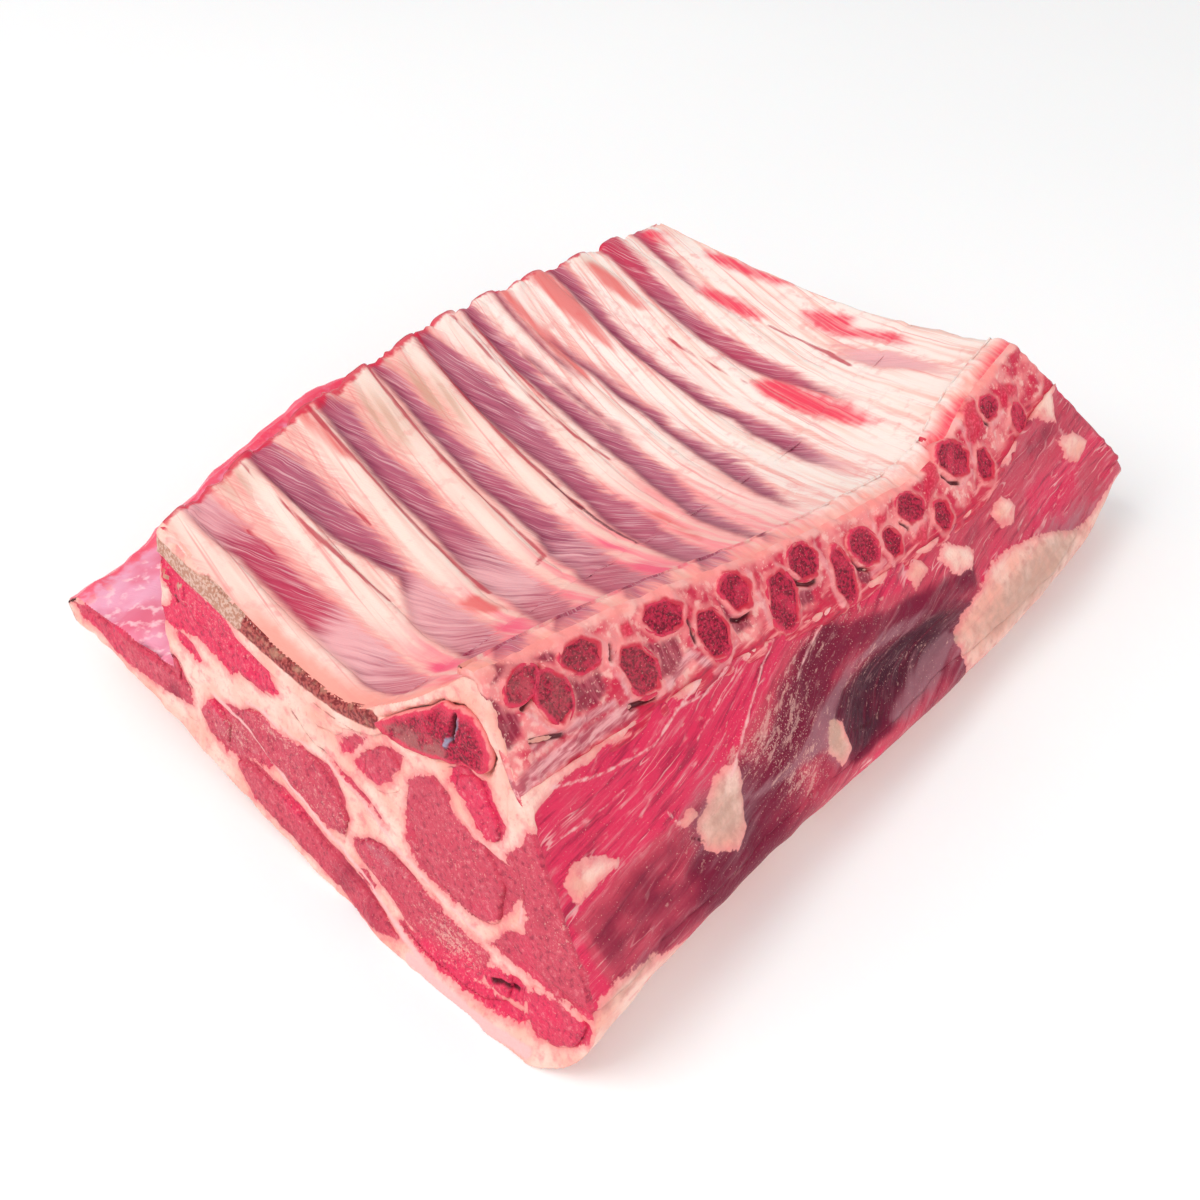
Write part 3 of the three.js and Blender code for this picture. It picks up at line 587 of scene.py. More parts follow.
SALMON_BANDS = [[(151, 173), (147, 160), (142.6, 148), (141, 138), (144, 140), (147.4, 150), (150.6, 160),
                 (156, 173)], [(165, 173), (161, 160), (158, 148), (157, 140), (160.6, 144), (165, 152),
                (169.6, 160), (173, 173)], [(60, 173), (58.4, 156), (61, 152), (64, 172)],
                [(182, 160), (180.6, 148), (182.6, 146), (188, 158), (190, 168), (187, 168)],
                [(41.6, 106), (42, 96), (47, 92), (48.4, 104)], [(93.6, 76), (100, 88), (102, 96),
                (103.4, 92), (97, 78)]]
PINK_GLOW = [((36.4, 86), (5, 7), 1.2), ((73, 79), (5, 8), 1.2), ((17, 86), (4, 7), 0.9),
             ((83, 93), (4, 9), 0.6), ((29, 74), (8, 6), 0.8), ((65, 70), (7, 6), 0.9),
             ((47, 71), (7, 6), 0.7), ((8, 99), (2, 9), 0.8), ((10, 64), (9, 5), 0.6),
             ((55, 84), (5, 6), 0.4), ((79, 62), (7, 5), 0.5)]


def mark_inner(piece):
    """Keeps what the inner face shows at each of a piece's points."""
    t, a, b = read(piece, "section").T
    x = RACK_LENGTH * t + MAP_SLANT * (a - MAP_MIDDLE) * blend(0, 60, RACK_LENGTH * t)
    marks = {"wedge": np.full(t.shape, -9.0), "across": np.zeros(t.shape), "veil": np.zeros(t.shape),
             "rosy": np.zeros(t.shape), "side": np.full(t.shape, 30.0)}
    for rows in WEDGES:
        at_y, left, right, white, red = np.array(rows[::-1]).T
        from_left = x - np.interp(a, at_y, left)
        to_right = np.interp(a, at_y, right) - x
        depth = np.minimum(np.minimum(from_left, to_right), (a - at_y[0]) * 0.35)
        depth = np.minimum(depth, np.where(at_y[-1] > 170, 9, (at_y[-1] - a) * 0.35))
        nearer = depth > marks["wedge"]
        for name, value in (("across", from_left), ("veil", np.interp(a, at_y, white)),
                            ("rosy", np.interp(a, at_y, red)), ("wedge", depth)):
            marks[name] = np.where(nearer, value, marks[name])
    for i in range(RIBS):
        centre = (t - rib_centre(i, a)) * RACK_LENGTH
        marks["side"] = np.where(np.abs(centre) < np.abs(marks["side"]), centre, marks["side"])
    marks["vein"] = along_any(VEINS, x, a)
    marks["clot"] = along_any(DARK_VEINS, x, a)
    marks["raw"] = in_any(RED_SPOTS, x, a)
    marks["salmon"] = in_any(SALMON_BANDS, x, a)
    marks["worn"] = sum_of(WORN, x, a)
    marks["pink"] = sum_of(PINK_GLOW, x, a)
    below = inner_height(0 * a, a) - b
    marks["sawn"] = np.where(t < 0.012, below - 2.6 - 1.4 * blend(150, 120, a) + 3 * blend(94, 84, a), -6)
    for name, values in marks.items():
        keep(piece, name, values)
    return marks


def valley(marks, a):
    """How far the flesh between the ribs lies below them, in metres."""
    sunk = 0.0008 * blend(-1.2, 2.2, marks["wedge"]) * (0.45 + 0.55 * blend(8, 1, marks["across"]))
    return sunk * blend(64, 90, a) * blend(173, 164, a)


def tint(text):
    """A colour written as six hex digits, for a shader."""
    parts = [int(text[k:k + 2], 16) / 255 for k in (0, 2, 4)]
    return tuple(((v + 0.055) / 1.055) ** 2.4 if v > 0.04 else v / 12.92 for v in parts) + (1,)


def set_socket(tree, socket, value):
    """Links a node's output to a socket, or sets the socket's own value."""
    if isinstance(value, bpy.types.NodeSocket):
        tree.links.new(value, socket)
    else:
        socket.default_value = value


def put(tree, kind, output=0, **settings):
    """Adds a shader node: lower-case settings are its options, the others its sockets."""
    item = tree.nodes.new("ShaderNode" + kind)
    for key, value in settings.items():
        if key[0].islower():
            setattr(item, key, value)
        else:
            set_socket(tree, item.inputs[key.replace("_", " ")], value)
    return item.outputs[output]


def calc(tree, operation, *values):
    """Adds a node that does one sum."""
    item = tree.nodes.new("ShaderNodeMath")
    item.operation = operation
    for socket, value in zip(item.inputs, values):
        set_socket(tree, socket, value)
    return item.outputs[0]


def mixed(tree, amount, low, high):
    """One colour fading into another."""
    item = tree.nodes.new("ShaderNodeMix")
    item.data_type = "RGBA"
    for k, value in ((0, amount), (6, low), (7, high)):
        set_socket(tree, item.inputs[k], value)
    return item.outputs[2]


def fade(tree, value, low, high, start=0.0, end=1.0):
    """A soft step from start to end as a value goes from low to high."""
    return put(tree, "MapRange", interpolation_type="SMOOTHSTEP", Value=value, From_Min=low,
               From_Max=high, To_Min=start, To_Max=end)


def laid_over(tree, under, over, value, low, high, share=1.0):
    """One colour over another, up to a share of it as a value goes from low to high."""
    return mixed(tree, fade(tree, value, low, high, 0.0, share), under, over)


def mottle(tree, vector, scale, detail=2.0, roughness=0.5):
    """A cloudy pattern around 0.5."""
    return put(tree, "TexNoise", Vector=vector, Scale=scale, Detail=detail, Roughness=roughness)


def kept(tree, name):
    """A value that was kept for each point."""
    return put(tree, "Attribute", 2, attribute_name=name)


def drawn_out(tree, vector, size):
    """Coordinates stretched so that a pattern runs out long in one direction."""
    return put(tree, "Mapping", vector_type="TEXTURE", Vector=vector, Scale=size)


def shifted(tree, value, other, share):
    """A value moved up or down by its share of a pattern that runs from 0 to 1."""
    return calc(tree, "MULTIPLY_ADD", calc(tree, "SUBTRACT", other, 0.5), share, value)


def finish_look(material, colour, height, roughness, wet, bump):
    """The meat's surface: a little light passes under it, and a wet film lies on it."""
    tree = material.node_tree
    shader = tree.nodes.new("ShaderNodeBsdfPrincipled")
    normal = put(tree, "Bump", Height=height, Strength=bump, Distance=0.0008)
    for key, value in {"Base Color": colour, "Roughness": roughness, "Coat Weight": wet,
                       "Coat Roughness": 0.16, "Subsurface Weight": 0.12,
                       "Subsurface Radius": (1.0, 0.35, 0.25), "Subsurface Scale": 0.0012,
                       "Normal": normal, "Coat Normal": normal,
                       "Specular IOR Level": 0.16}.items():
        set_socket(tree, shader.inputs[key], value)
    output = tree.nodes.new("ShaderNodeOutputMaterial")
    tree.links.new(shader.outputs[0], output.inputs[0])


def new_material(name):
    """An empty material and its tree of nodes."""
    material = bpy.data.materials.new(name)
    material.use_nodes = True
    material.node_tree.nodes.clear()
    return material, material.node_tree


# Cut meat: peach fat and rose lean that meet in ragged edges, with marrow and dark gaps
FAT_PEACH = tint("f2aa9a")
FAT_CREAM = tint("f7ccbe")
FAT_PINK = tint("e87a80")
SEAM_PINK = tint("f2b8b6")
LEAN_BRIGHT = tint("dc2c56")
LEAN_ROSE = tint("c84258")
LEAN_DARK = tint("780c30")
LEAN_BLACK = tint("3e0a22")
FIBRE_PALE = tint("ea9098")
MARROW_DEEP = tint("7a2428")
MARROW_RED = tint("b0504c")
MARROW_TAN = tint("bc8670")
BONE_DRY = tint("d8b4a4")
GAP_DARK = tint("4c0618")
HAZE_GREY = tint("a06c76")
FAT_GREY = tint("c09888")
GRIT_TAN = tint("e4aca2")


def cut_meat(name, grain_size, strand_size, strand_width, strand_share, flake_size):
    """The look of a cut, with the sizes of its grain, pale strands and flakes along X, Y and Z."""
    material, tree = new_material(name)
    spot = put(tree, "TexCoord", 3)
    x = put(tree, "SeparateXYZ", 0, Vector=spot)
    y = put(tree, "SeparateXYZ", 1, Vector=spot)
    flow = calc(tree, "MULTIPLY", kept(tree, "flow"), 0.001)
    lay = put(tree, "CombineXYZ", X=x, Y=y, Z=flow)
    coarse = mottle(tree, spot, 80, 3)
    middle = mottle(tree, spot, 330, 3)
    fine = mottle(tree, spot, 1100, 2)
    grain = mottle(tree, drawn_out(tree, lay, grain_size), 1.0, 4, 0.62)
    strands = mottle(tree, drawn_out(tree, lay, strand_size), 1.0, 2, 0.45)
    patches = mottle(tree, drawn_out(tree, lay, [4 * v for v in strand_size]), 1.0, 2)
    ragged = calc(tree, "MULTIPLY_ADD", middle, 2.6, -1.3)
    ragged = calc(tree, "MULTIPLY_ADD", fine, 0.9, calc(tree, "SUBTRACT", ragged, 0.45))
    lean = shifted(tree, calc(tree, "ADD", kept(tree, "lean"), ragged), grain, 2.0)
    tone = shifted(tree, shifted(tree, kept(tree, "tone"), patches, 1.1), coarse, 0.5)

    fat = laid_over(tree, FAT_PEACH, FAT_CREAM, coarse, 0.35, 0.65)
    fat = laid_over(tree, fat, FAT_PINK, middle, 0.5, 0.75, 0.6)
    fat = laid_over(tree, fat, FAT_PINK, lean, -2.6, 0.1, 0.7)
    seam = calc(tree, "ADD", kept(tree, "pale"), calc(tree, "MULTIPLY", ragged, 0.4))
    fat = laid_over(tree, fat, SEAM_PINK, seam, -0.5, 0.6, 0.8)
    fat = laid_over(tree, fat, FAT_PINK, grain, 0.54, 0.7, 0.35)
    stale = shifted(tree, kept(tree, "haze"), middle, 0.8)
    fat = laid_over(tree, fat, FAT_GREY, stale, 0.25, 0.95, 0.85)

    meat = laid_over(tree, LEAN_BRIGHT, LEAN_ROSE, tone, 0.15, 0.42)
    meat = laid_over(tree, meat, LEAN_DARK, tone, 0.5, 0.84)
    meat = laid_over(tree, meat, LEAN_BLACK, tone, 0.84, 1.2, 0.9)
    meat = laid_over(tree, meat, LEAN_DARK, grain, 0.5, 0.3, 0.6)
    light = calc(tree, "MULTIPLY", fade(tree, grain, 0.54, 0.74, 0, 0.55),
                 fade(tree, tone, 0.75, 0.35, 0.25, 1))
    meat = mixed(tree, light, meat, FIBRE_PALE)
    thread = calc(tree, "ABSOLUTE", calc(tree, "SUBTRACT", strands, 0.5))
    thread = fade(tree, thread, strand_width, strand_width * 0.2, 0, strand_share)
    thread = calc(tree, "MULTIPLY", thread, fade(tree, mottle(tree, spot, 120, 2), 0.46, 0.64, 0, 0.6))
    thread = calc(tree, "MULTIPLY", thread, fade(tree, tone, 0.75, 0.4, 0.2, 1))
    meat = mixed(tree, thread, meat, SEAM_PINK)
    haze = shifted(tree, kept(tree, "haze"), grain, 1.2)
    meat = laid_over(tree, meat, HAZE_GREY, haze, 0.12, 0.9, 0.72)
    colour = laid_over(tree, fat, meat, lean, -0.15, 0.3)
    colour = laid_over(tree, colour, SEAM_PINK, seam, 0.0, 0.6, 0.9)
    dust = calc(tree, "MULTIPLY_ADD", kept(tree, "grit"), 0.12, mottle(tree, spot, 2100, 1))
    colour = laid_over(tree, colour, GRIT_TAN, dust, 0.70, 0.78, 0.6)
    flakes = mottle(tree, drawn_out(tree, lay, flake_size), 1.0, 3, 0.6)
    flakes = calc(tree, "MULTIPLY_ADD", kept(tree, "grit"), 0.16, flakes)
    colour = laid_over(tree, colour, GRIT_TAN, flakes, 0.66, 0.78, 0.5)

    marrow = calc(tree, "ADD", kept(tree, "marrow"), calc(tree, "MULTIPLY", ragged, 0.5))
    sponge = laid_over(tree, MARROW_DEEP, MARROW_RED, fine, 0.4, 0.6)
    sponge = laid_over(tree, sponge, MARROW_TAN, middle, 0.5, 0.72, 0.7)
    dry = laid_over(tree, MARROW_TAN, BONE_DRY, fine, 0.42, 0.6)
    sponge = laid_over(tree, sponge, dry, kept(tree, "haze"), 0.1, 0.3, 0.85)
    colour = laid_over(tree, colour, sponge, marrow, -0.1, 0.5)
    dark = calc(tree, "ADD", kept(tree, "dark"), calc(tree, "MULTIPLY", ragged, 0.3))
    colour = laid_over(tree, colour, GAP_DARK, dark, -0.3, 0.35, 0.95)

    height = calc(tree, "MULTIPLY_ADD", grain, 0.9, calc(tree, "MULTIPLY", fine, 0.6))
    rough = fade(tree, coarse, 0.3, 0.7, 0.36, 0.52)
    finish_look(material, colour, height, rough, 0.14, 0.5)
    return material


cut_across = cut_meat("cut_across_the_grain", (0.0016, 0.0014, 0.0015), (0.007, 0.007, 0.007), 0.008, 0.12,
                      (0.0012, 0.0012, 0.0012))
cut_along = cut_meat("cut_along_the_grain", (0.017, 0.02, 0.0013), (0.028, 0.02, 0.0034), 0.022, 1,
                     (0.0042, 0.004, 0.0014))


# The skin of the inner face: cream over bone, mauve muscle with slanting pale fibres between,
# thin crimson veins beside the ribs, bright pink towards the spine, and lilac over the flap
BONE_CREAM = tint("f5dcd0")
BONE_WHITE = tint("f6e4dc")
BONE_PINK = tint("f2bcb0")
BONE_TAN = tint("cf9c86")
BONE_BLUSH = tint("ea8a88")
MAUVE_DARK = tint("7e2446")
MAUVE = tint("b05870")
ROSE_RED = tint("c22a4c")
SALMON = tint("e0605e")
FIBRE_WHITE = tint("ecc0c2")
VEIL_PINK = tint("eeb2b4")
VEIN_RED = tint("b81236")
VEIN_DARK = tint("4e0a22")
SPINE_PINK = tint("fb8690")
SPINE_MAGENTA = tint("ee4a74")
RIM_PEACH = tint("f09688")
RAGGED_RED = tint("cf1c40")
RAW_RED = tint("ec2c50")
LILAC = tint("eaa4be")
LILAC_RED = tint("e2708c")
LILAC_PALE = tint("f8ccd4")


def inner_skin():
    """The look of the chest side, with bone, muscle and veins placed by what was kept."""
    material, tree = new_material("inner_skin")
    spot = put(tree, "TexCoord", 3)
    x = put(tree, "SeparateXYZ", 0, Vector=spot)
    y = put(tree, "SeparateXYZ", 1, Vector=spot)
    section = put(tree, "Attribute", 1, attribute_name="section")
    t = put(tree, "SeparateXYZ", 0, Vector=section)
    a = put(tree, "SeparateXYZ", 1, Vector=section)
    b = put(tree, "SeparateXYZ", 2, Vector=section)
    coarse = mottle(tree, spot, 60, 3)
    middle = mottle(tree, spot, 300, 3)
    fine = mottle(tree, spot, 1200, 2)
    slant = calc(tree, "MULTIPLY_ADD", y, 0.36, x)
    slant = calc(tree, "MULTIPLY_ADD", coarse, 0.004, slant)
    fibres = put(tree, "CombineXYZ", X=calc(tree, "MULTIPLY", slant, 620),
                 Y=calc(tree, "MULTIPLY", y, 40), Z=0.0)
    streak = mottle(tree, fibres, 1.0, 3, 0.6)
    hairs = put(tree, "CombineXYZ", X=calc(tree, "MULTIPLY", slant, 2100),
                Y=calc(tree, "MULTIPLY", y, 70), Z=0.0)
    hair = mottle(tree, hairs, 1.0, 2)
    lean = calc(tree, "MULTIPLY_ADD", y, -0.24, x)
    along = put(tree, "CombineXYZ", X=calc(tree, "MULTIPLY", lean, 330),
                Y=calc(tree, "MULTIPLY", y, 20), Z=0.0)
    bands = mottle(tree, along, 1.0, 3)
    thin = put(tree, "CombineXYZ", X=calc(tree, "MULTIPLY", lean, 900),
               Y=calc(tree, "MULTIPLY", y, 16), Z=4.0)
    lines = mottle(tree, thin, 1.0, 2)
    side = kept(tree, "side")
    across = kept(tree, "across")
    feather = calc(tree, "MULTIPLY", fade(tree, across, 1.0, 5.0), calc(tree, "SUBTRACT", streak, 0.46))
    wedge = calc(tree, "MULTIPLY_ADD", feather, 7.0, kept(tree, "wedge"))
    wedge = shifted(tree, shifted(tree, wedge, hair, 2.2), middle, 1.2)
    far_side = fade(tree, t, 0.42, 0.62)
    near_side = fade(tree, t, 0.62, 0.42)

    bone = laid_over(tree, BONE_CREAM, BONE_PINK, bands, 0.4, 0.68)
    left = fade(tree, shifted(tree, side, streak, 5.0), -0.5, -5.5, 0, 0.65)
    bone = mixed(tree, left, bone, laid_over(tree, BONE_BLUSH, BONE_PINK, hair, 0.4, 0.62))
    gleam = fade(tree, calc(tree, "ABSOLUTE", calc(tree, "SUBTRACT", side, 0.6)), 3.0, 1.2, 0, 0.7)
    bone = mixed(tree, gleam, bone, BONE_CREAM)
    bone = mixed(tree, calc(tree, "MULTIPLY", far_side, fade(tree, bands, 0.62, 0.44, 0.1, 0.9)),
                 bone, BONE_WHITE)
    blush = calc(tree, "MULTIPLY", fade(tree, middle, 0.5, 0.72, 0, 0.45), fade(tree, coarse, 0.42, 0.6))
    bone = mixed(tree, blush, bone, BONE_BLUSH)
    bone = laid_over(tree, bone, BONE_BLUSH, lines, 0.56, 0.7, 0.65)
    worn = calc(tree, "MULTIPLY", kept(tree, "worn"), fade(tree, bands, 0.62, 0.4, 0.45, 1))
    bone = laid_over(tree, bone, BONE_TAN, worn, 0.1, 1.0, 0.85)
    near_spine = calc(tree, "MULTIPLY", fade(tree, a, 118, 94), near_side)
    pink = laid_over(tree, BONE_PINK, SPINE_PINK, bands, 0.35, 0.6)
    bone = mixed(tree, calc(tree, "MULTIPLY", near_spine, 0.9), bone, pink)
    glow = calc(tree, "MULTIPLY", kept(tree, "pink"), fade(tree, bands, 0.3, 0.6, 0.5, 1.2))
    bone = laid_over(tree, bone, SPINE_MAGENTA, glow, 0.1, 0.9, 0.9)
    salmon = shifted(tree, kept(tree, "salmon"), bands, 5.0)
    bone = laid_over(tree, bone, SALMON, salmon, -1.5, 1.6, 0.85)
    rim = calc(tree, "MULTIPLY_ADD", middle, 8, a)
    bone = laid_over(tree, bone, RIM_PEACH, rim, 71, 65, 0.7)

    flesh = laid_over(tree, MAUVE_DARK, MAUVE, shifted(tree, across, streak, 5.0), -0.5, 5.0)
    flesh = laid_over(tree, flesh, MAUVE_DARK, streak, 0.5, 0.3, 0.5)
    flesh = mixed(tree, calc(tree, "MULTIPLY", kept(tree, "rosy"), 0.9), flesh, ROSE_RED)
    pale = fade(tree, across, 0.5, 6.0, 0.3, 0.8)
    pale = calc(tree, "MULTIPLY", fade(tree, hair, 0.46, 0.72), pale)
    flesh = mixed(tree, calc(tree, "MULTIPLY", pale, 0.7), flesh, FIBRE_WHITE)
    white = shifted(tree, kept(tree, "veil"), streak, 1.0)
    flesh = laid_over(tree, flesh, VEIL_PINK, white, 0.1, 0.75, 0.85)
    bone = laid_over(tree, bone, BONE_BLUSH, wedge, -3.0, 0.2, 0.55)
    colour = laid_over(tree, bone, flesh, wedge, -1.5, 1.7)

    raw = shifted(tree, shifted(tree, kept(tree, "raw"), bands, 4.0), middle, 3.0)
    raw = calc(tree, "MULTIPLY", fade(tree, raw, -2.6, 2.4, 0, 0.95), fade(tree, lines, 0.7, 0.4, 0.6, 1))
    colour = mixed(tree, raw, colour, RAW_RED)
    vein = shifted(tree, shifted(tree, kept(tree, "vein"), coarse, 1.6), lines, 1.0)
    colour = laid_over(tree, colour, VEIN_RED, vein, -0.55, 0.25, 0.8)
    clot = shifted(tree, kept(tree, "clot"), lines, 0.8)
    colour = laid_over(tree, colour, VEIN_DARK, clot, -0.35, 0.2, 0.85)
    sawn = shifted(tree, shifted(tree, kept(tree, "sawn"), middle, 2.4), fine, 1.2)
    sponge = laid_over(tree, MARROW_DEEP, MARROW_RED, fine, 0.4, 0.6)
    sponge = laid_over(tree, sponge, MARROW_TAN, middle, 0.46, 0.7, 0.8)
    dry = laid_over(tree, MARROW_TAN, BONE_TAN, fine, 0.4, 0.62)
    sponge = laid_over(tree, sponge, dry, a, 138, 150, 0.85)
    orange = fade(tree, calc(tree, "MULTIPLY_ADD", middle, 0.016, t), 0.04, 0.018, 0, 0.85)
    orange = calc(tree, "MULTIPLY", orange, fade(tree, a, 150, 130, 0.2, 1))
    colour = mixed(tree, orange, colour, RIM_PEACH)
    colour = laid_over(tree, colour, sponge, sawn, -0.5, 0.5, 0.92)
    torn = calc(tree, "MULTIPLY_ADD", middle, 5, a)
    torn = calc(tree, "MULTIPLY_ADD", coarse, 5, torn)
    torn = calc(tree, "MULTIPLY_ADD", far_side, -1.5, torn)
    torn = calc(tree, "MULTIPLY", fade(tree, torn, 174.4, 176.4, 0, 0.9), fade(tree, b, 55, 60))
    colour = mixed(tree, torn, colour, RAGGED_RED)
    flap = laid_over(tree, LILAC, LILAC_RED, coarse, 0.38, 0.62)
    flap = laid_over(tree, flap, LILAC_PALE, middle, 0.54, 0.7, 0.85)
    edge = calc(tree, "MULTIPLY_ADD", middle, 14, a)
    flap = laid_over(tree, flap, RAW_RED, edge, 215, 221, 0.8)
    on_flap = calc(tree, "MULTIPLY", fade(tree, b, 54, 46), fade(tree, a, 150, 160))
    colour = mixed(tree, on_flap, colour, flap)
    height = calc(tree, "MULTIPLY_ADD", hair, 0.45, calc(tree, "MULTIPLY", fine, 0.25))
    rough = fade(tree, coarse, 0.3, 0.7, 0.3, 0.46)
    finish_look(material, colour, height, rough, 0.22, 0.22)
    return material


skin = inner_skin()


def face_values(piece, name, column=None):
    """The mean over each face of what was kept for its points."""
    mesh = piece.data
    if column is None:
        values = np.zeros(len(mesh.vertices), np.float32)
        mesh.attributes[name].data.foreach_get("value", values)
    else:
        values = read(piece, name)[:, column]
    corners = np.zeros(len(mesh.loops), np.int32)
    mesh.loops.foreach_get("vertex_index", corners)
    starts = np.zeros(len(mesh.polygons), np.int32)
    mesh.polygons.foreach_get("loop_start", starts)
    totals = np.zeros(len(mesh.polygons), np.int32)
    mesh.polygons.foreach_get("loop_total", totals)
    return np.add.reduceat(values[corners], starts) / totals


def face_normals(piece):
    """The way each face looks."""
    values = np.zeros(len(piece.data.polygons) * 3, np.float32)
    piece.data.polygons.foreach_get("normal", values)
    return values.reshape(-1, 3)


def off_the_cuts(piece):
    """Which faces don't look along the rack, as those of the two cuts do."""
    return np.abs(face_normals(piece)[:, 0]) < 0.8


def on_the_cuts(piece):
    """Which faces lie on the two cuts across the rack."""
    along = face_values(piece, "section", 0)
    return (along < 0.004) | (along > 0.996)


def facing_up(piece):
    """How far the surface at each point looks up, from 0 to 1."""
    return blend(0.2, 0.7, read(piece, "normal")[:, 2])


EVERY_FACE = slice(None)


def dress(piece, *choices):
    """Gives a piece its materials: the first, then each next where its faces are chosen."""
    slots = np.zeros(len(piece.data.polygons), np.int32)
    piece.data.materials.clear()
    for k, (material, chosen) in enumerate(choices):
        piece.data.materials.append(material)
        slots[chosen] = k
    piece.data.polygons.foreach_set("material_index", slots)
    piece.data.update()


UNDER_PIECES = 0.0022           # how far the fat keeps below the pieces that lie on it
ROWS = 53
body_left = line([(30, 0), (22, 3.5), (16, 10), (13.8, 17), (15, 24), (23.1, 36), (31.2, 48),
                  (39.2, 60), (47.3, 72), (57, 86.5), (60.5, 90.2)], ROWS)
ridge = [(a, float(inner_height(np.array(0.0), np.array(float(a))))) for a in range(62, 170, 6)]
body_upper = spread(line([(60.5, 90.2)] + ridge + [(170, 70.4)], 101),
                    line([(170, 70.4), (173, 64), (173, 50), (170, 37), (165, 30.5)], 27),
                    line([(165, 30.5), (178, 28.6), (200, 28), (214, 27)], 46))
body_lower = spread(line([(30, 0), (60, 0), (100, 0), (116, 2.6), (137, 6.3), (156, 10)], 101),
                    line([(156, 10), (168, 13.7)], 27),
                    line([(168, 13.7), (190, 17.5), (214, 20.3)], 46))
body_right = line([(214, 20.3), (217.6, 23.5), (214, 27)], ROWS)
fat = carry("fat_and_seams_soft", fill(body_left, body_right, body_lower, body_upper),
            np.linspace(0, 1, 101))
finish(fat, "SMOOTH", factor=0.5, iterations=3)
t, a, b = read(fat, "section").T
under_wall = blend(86, 92, a) * blend(173, 171.5, a) * blend(3, 1, inner_height(0 * t, a) - b)
behind_wall = blend(170, 172, a) * blend(53, 56, b)
near_saw = blend(6, 3, from_saw_cut(a, b))
under_lean = blend(27, 28.5, b) * blend(67, 65.5, b) * near_saw
inside = 1 - blend(0.012, 0.004, t) - blend(0.988, 0.996, t)
under_ridge = 0.6 * blend(63.5, 66, b) * near_saw * blend(66, 63.5, a)
sunk = np.maximum(np.maximum(under_wall, under_lean), np.maximum(behind_wall, under_ridge))
bone_seat = blend(-1, 0.4, depth_in(END_BONE, a, b)) * (t < END_SHARE)
push(fat, -UNDER_PIECES * (sunk * inside + bone_seat))
marks = mark_cuts(fat)
face_marks = mark_inner(fat)
point = read(fat)
on_top = facing_up(fat) * blend(60, 64, a)
slanting = point * np.array([1, 0.25, 0.3])
on_cut = blend(0.006, 0.002, t) + blend(0.994, 0.998, t)
torn_in = 0.0016 * blend(-0.3, 0.6, marks["dark"]) - 0.0005 * blend(-1.0, 0.5, marks["pale"])
torn_in = torn_in + 0.0005 * blend(-0.4, 0.4, marks["lean"]) - 0.0006 * blend(-0.4, 0.6, marks["marrow"])
on_flap = blend(163, 174, a) * blend(38, 30, b)
push(fat, -valley(face_marks, a) * on_top - on_cut * 0.8 * torn_in + 0.0003 * noise(point, 0.007, 31)
     + 0.0001 * noise(point, 0.0018, 32) + on_top * 0.0002 * noise(slanting, 0.0016, 33)
     + on_cut * 0.0003 * noise(point, 0.0028, 34)
     + on_flap * (0.0011 * noise(point, 0.011, 35) + 0.0005 * noise(point, 0.004, 36)))
point = read(fat)
point[:, 2] = np.maximum(point[:, 2], 0)
move(fat, point)
face_a = face_values(fat, "section", 1)
face_t = face_values(fat, "section", 0)
face_b = face_values(fat, "section", 2)
up = face_normals(fat)[:, 2]
within = (face_t > 0.002) & (face_t < 0.998) & off_the_cuts(fat)
dress(fat, (cut_along, EVERY_FACE), (cut_across, on_the_cuts(fat)),
      (skin, (face_a > 60.5) & (face_a < 110) & (up > 0.3) & within),
      (skin, (face_a > 162) & (face_b < 45) & (up > 0.25) & within))
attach(fat, "root")
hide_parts("fat_and_seams")


# The muscles: eight long muscles that run through the fat from cut to cut, each a body of lean in
# its own skin. They swell a little out of the fat at the two cuts.
MUSCLES = {
    "loin_eye": ([(46, 30), (50, 27.2), (58, 27.2), (66, 29.6), (73, 35.5), (77.5, 44)],
                 [(46, 41), (51, 46.8), (58, 51.4), (66, 55), (73, 56.5), (77.5, 53)], (1.12, 1.1)),
    "side_muscle": ([(80.5, 45.5), (84, 42.4), (88, 41), (92, 43.4)],
                    [(80.5, 51.5), (84, 54), (88, 53.6), (92, 49.6)], (0.7, 0.8)),
    "middle_muscle_outer": ([(97.6, 18), (107, 17.4), (117, 21.6), (129, 26.2), (138, 32)],
                            [(97.6, 24.5), (103, 32), (112, 36), (125, 38), (138, 34)],
                            (0.85, 0.7)),
    "middle_muscle_inner": ([(40, 10.5), (48, 6.2), (62, 5.6), (75, 7.6), (86, 12), (93, 18.5)],
                            [(40, 18), (47, 22), (60, 23.2), (74, 23.6), (86, 25), (93, 21.5)],
                            (0.95, 0.8)),
    "cap_muscle": ([(75, 2), (82, 1.3), (96, 1.3), (108, 3.2), (122, 5.8), (137, 8.6), (143, 13)],
                   [(75, 3.6), (83, 6), (95, 9), (108, 12.8), (121, 16.6), (134, 17.4), (143, 15)],
                   (0.95, 0.85)),
    "flap_muscle": ([(144, 20), (156, 17.7), (172, 17.9), (190, 19.3), (208, 21), (216, 23)],
                    [(144, 25), (152, 28.8), (165, 27.9), (178, 27.2), (200, 26.6), (216, 24.4)],
                    (1, 0.9)),
    "tail_muscle": ([(17, 17), (19.5, 11.5), (25, 8), (32, 8.6), (35.5, 14)],
                    [(17, 20), (20, 22.8), (28, 22.5), (32, 20.6), (35.5, 18.5)], (0.85, 0.8)),
    "chine_muscle": ([(49, 53), (52, 51.3), (58, 54.6), (62.6, 58.6)],
                     [(49, 55), (52, 59), (57.6, 63.9), (62.6, 61.5)], (0.9, 0.8)),
}
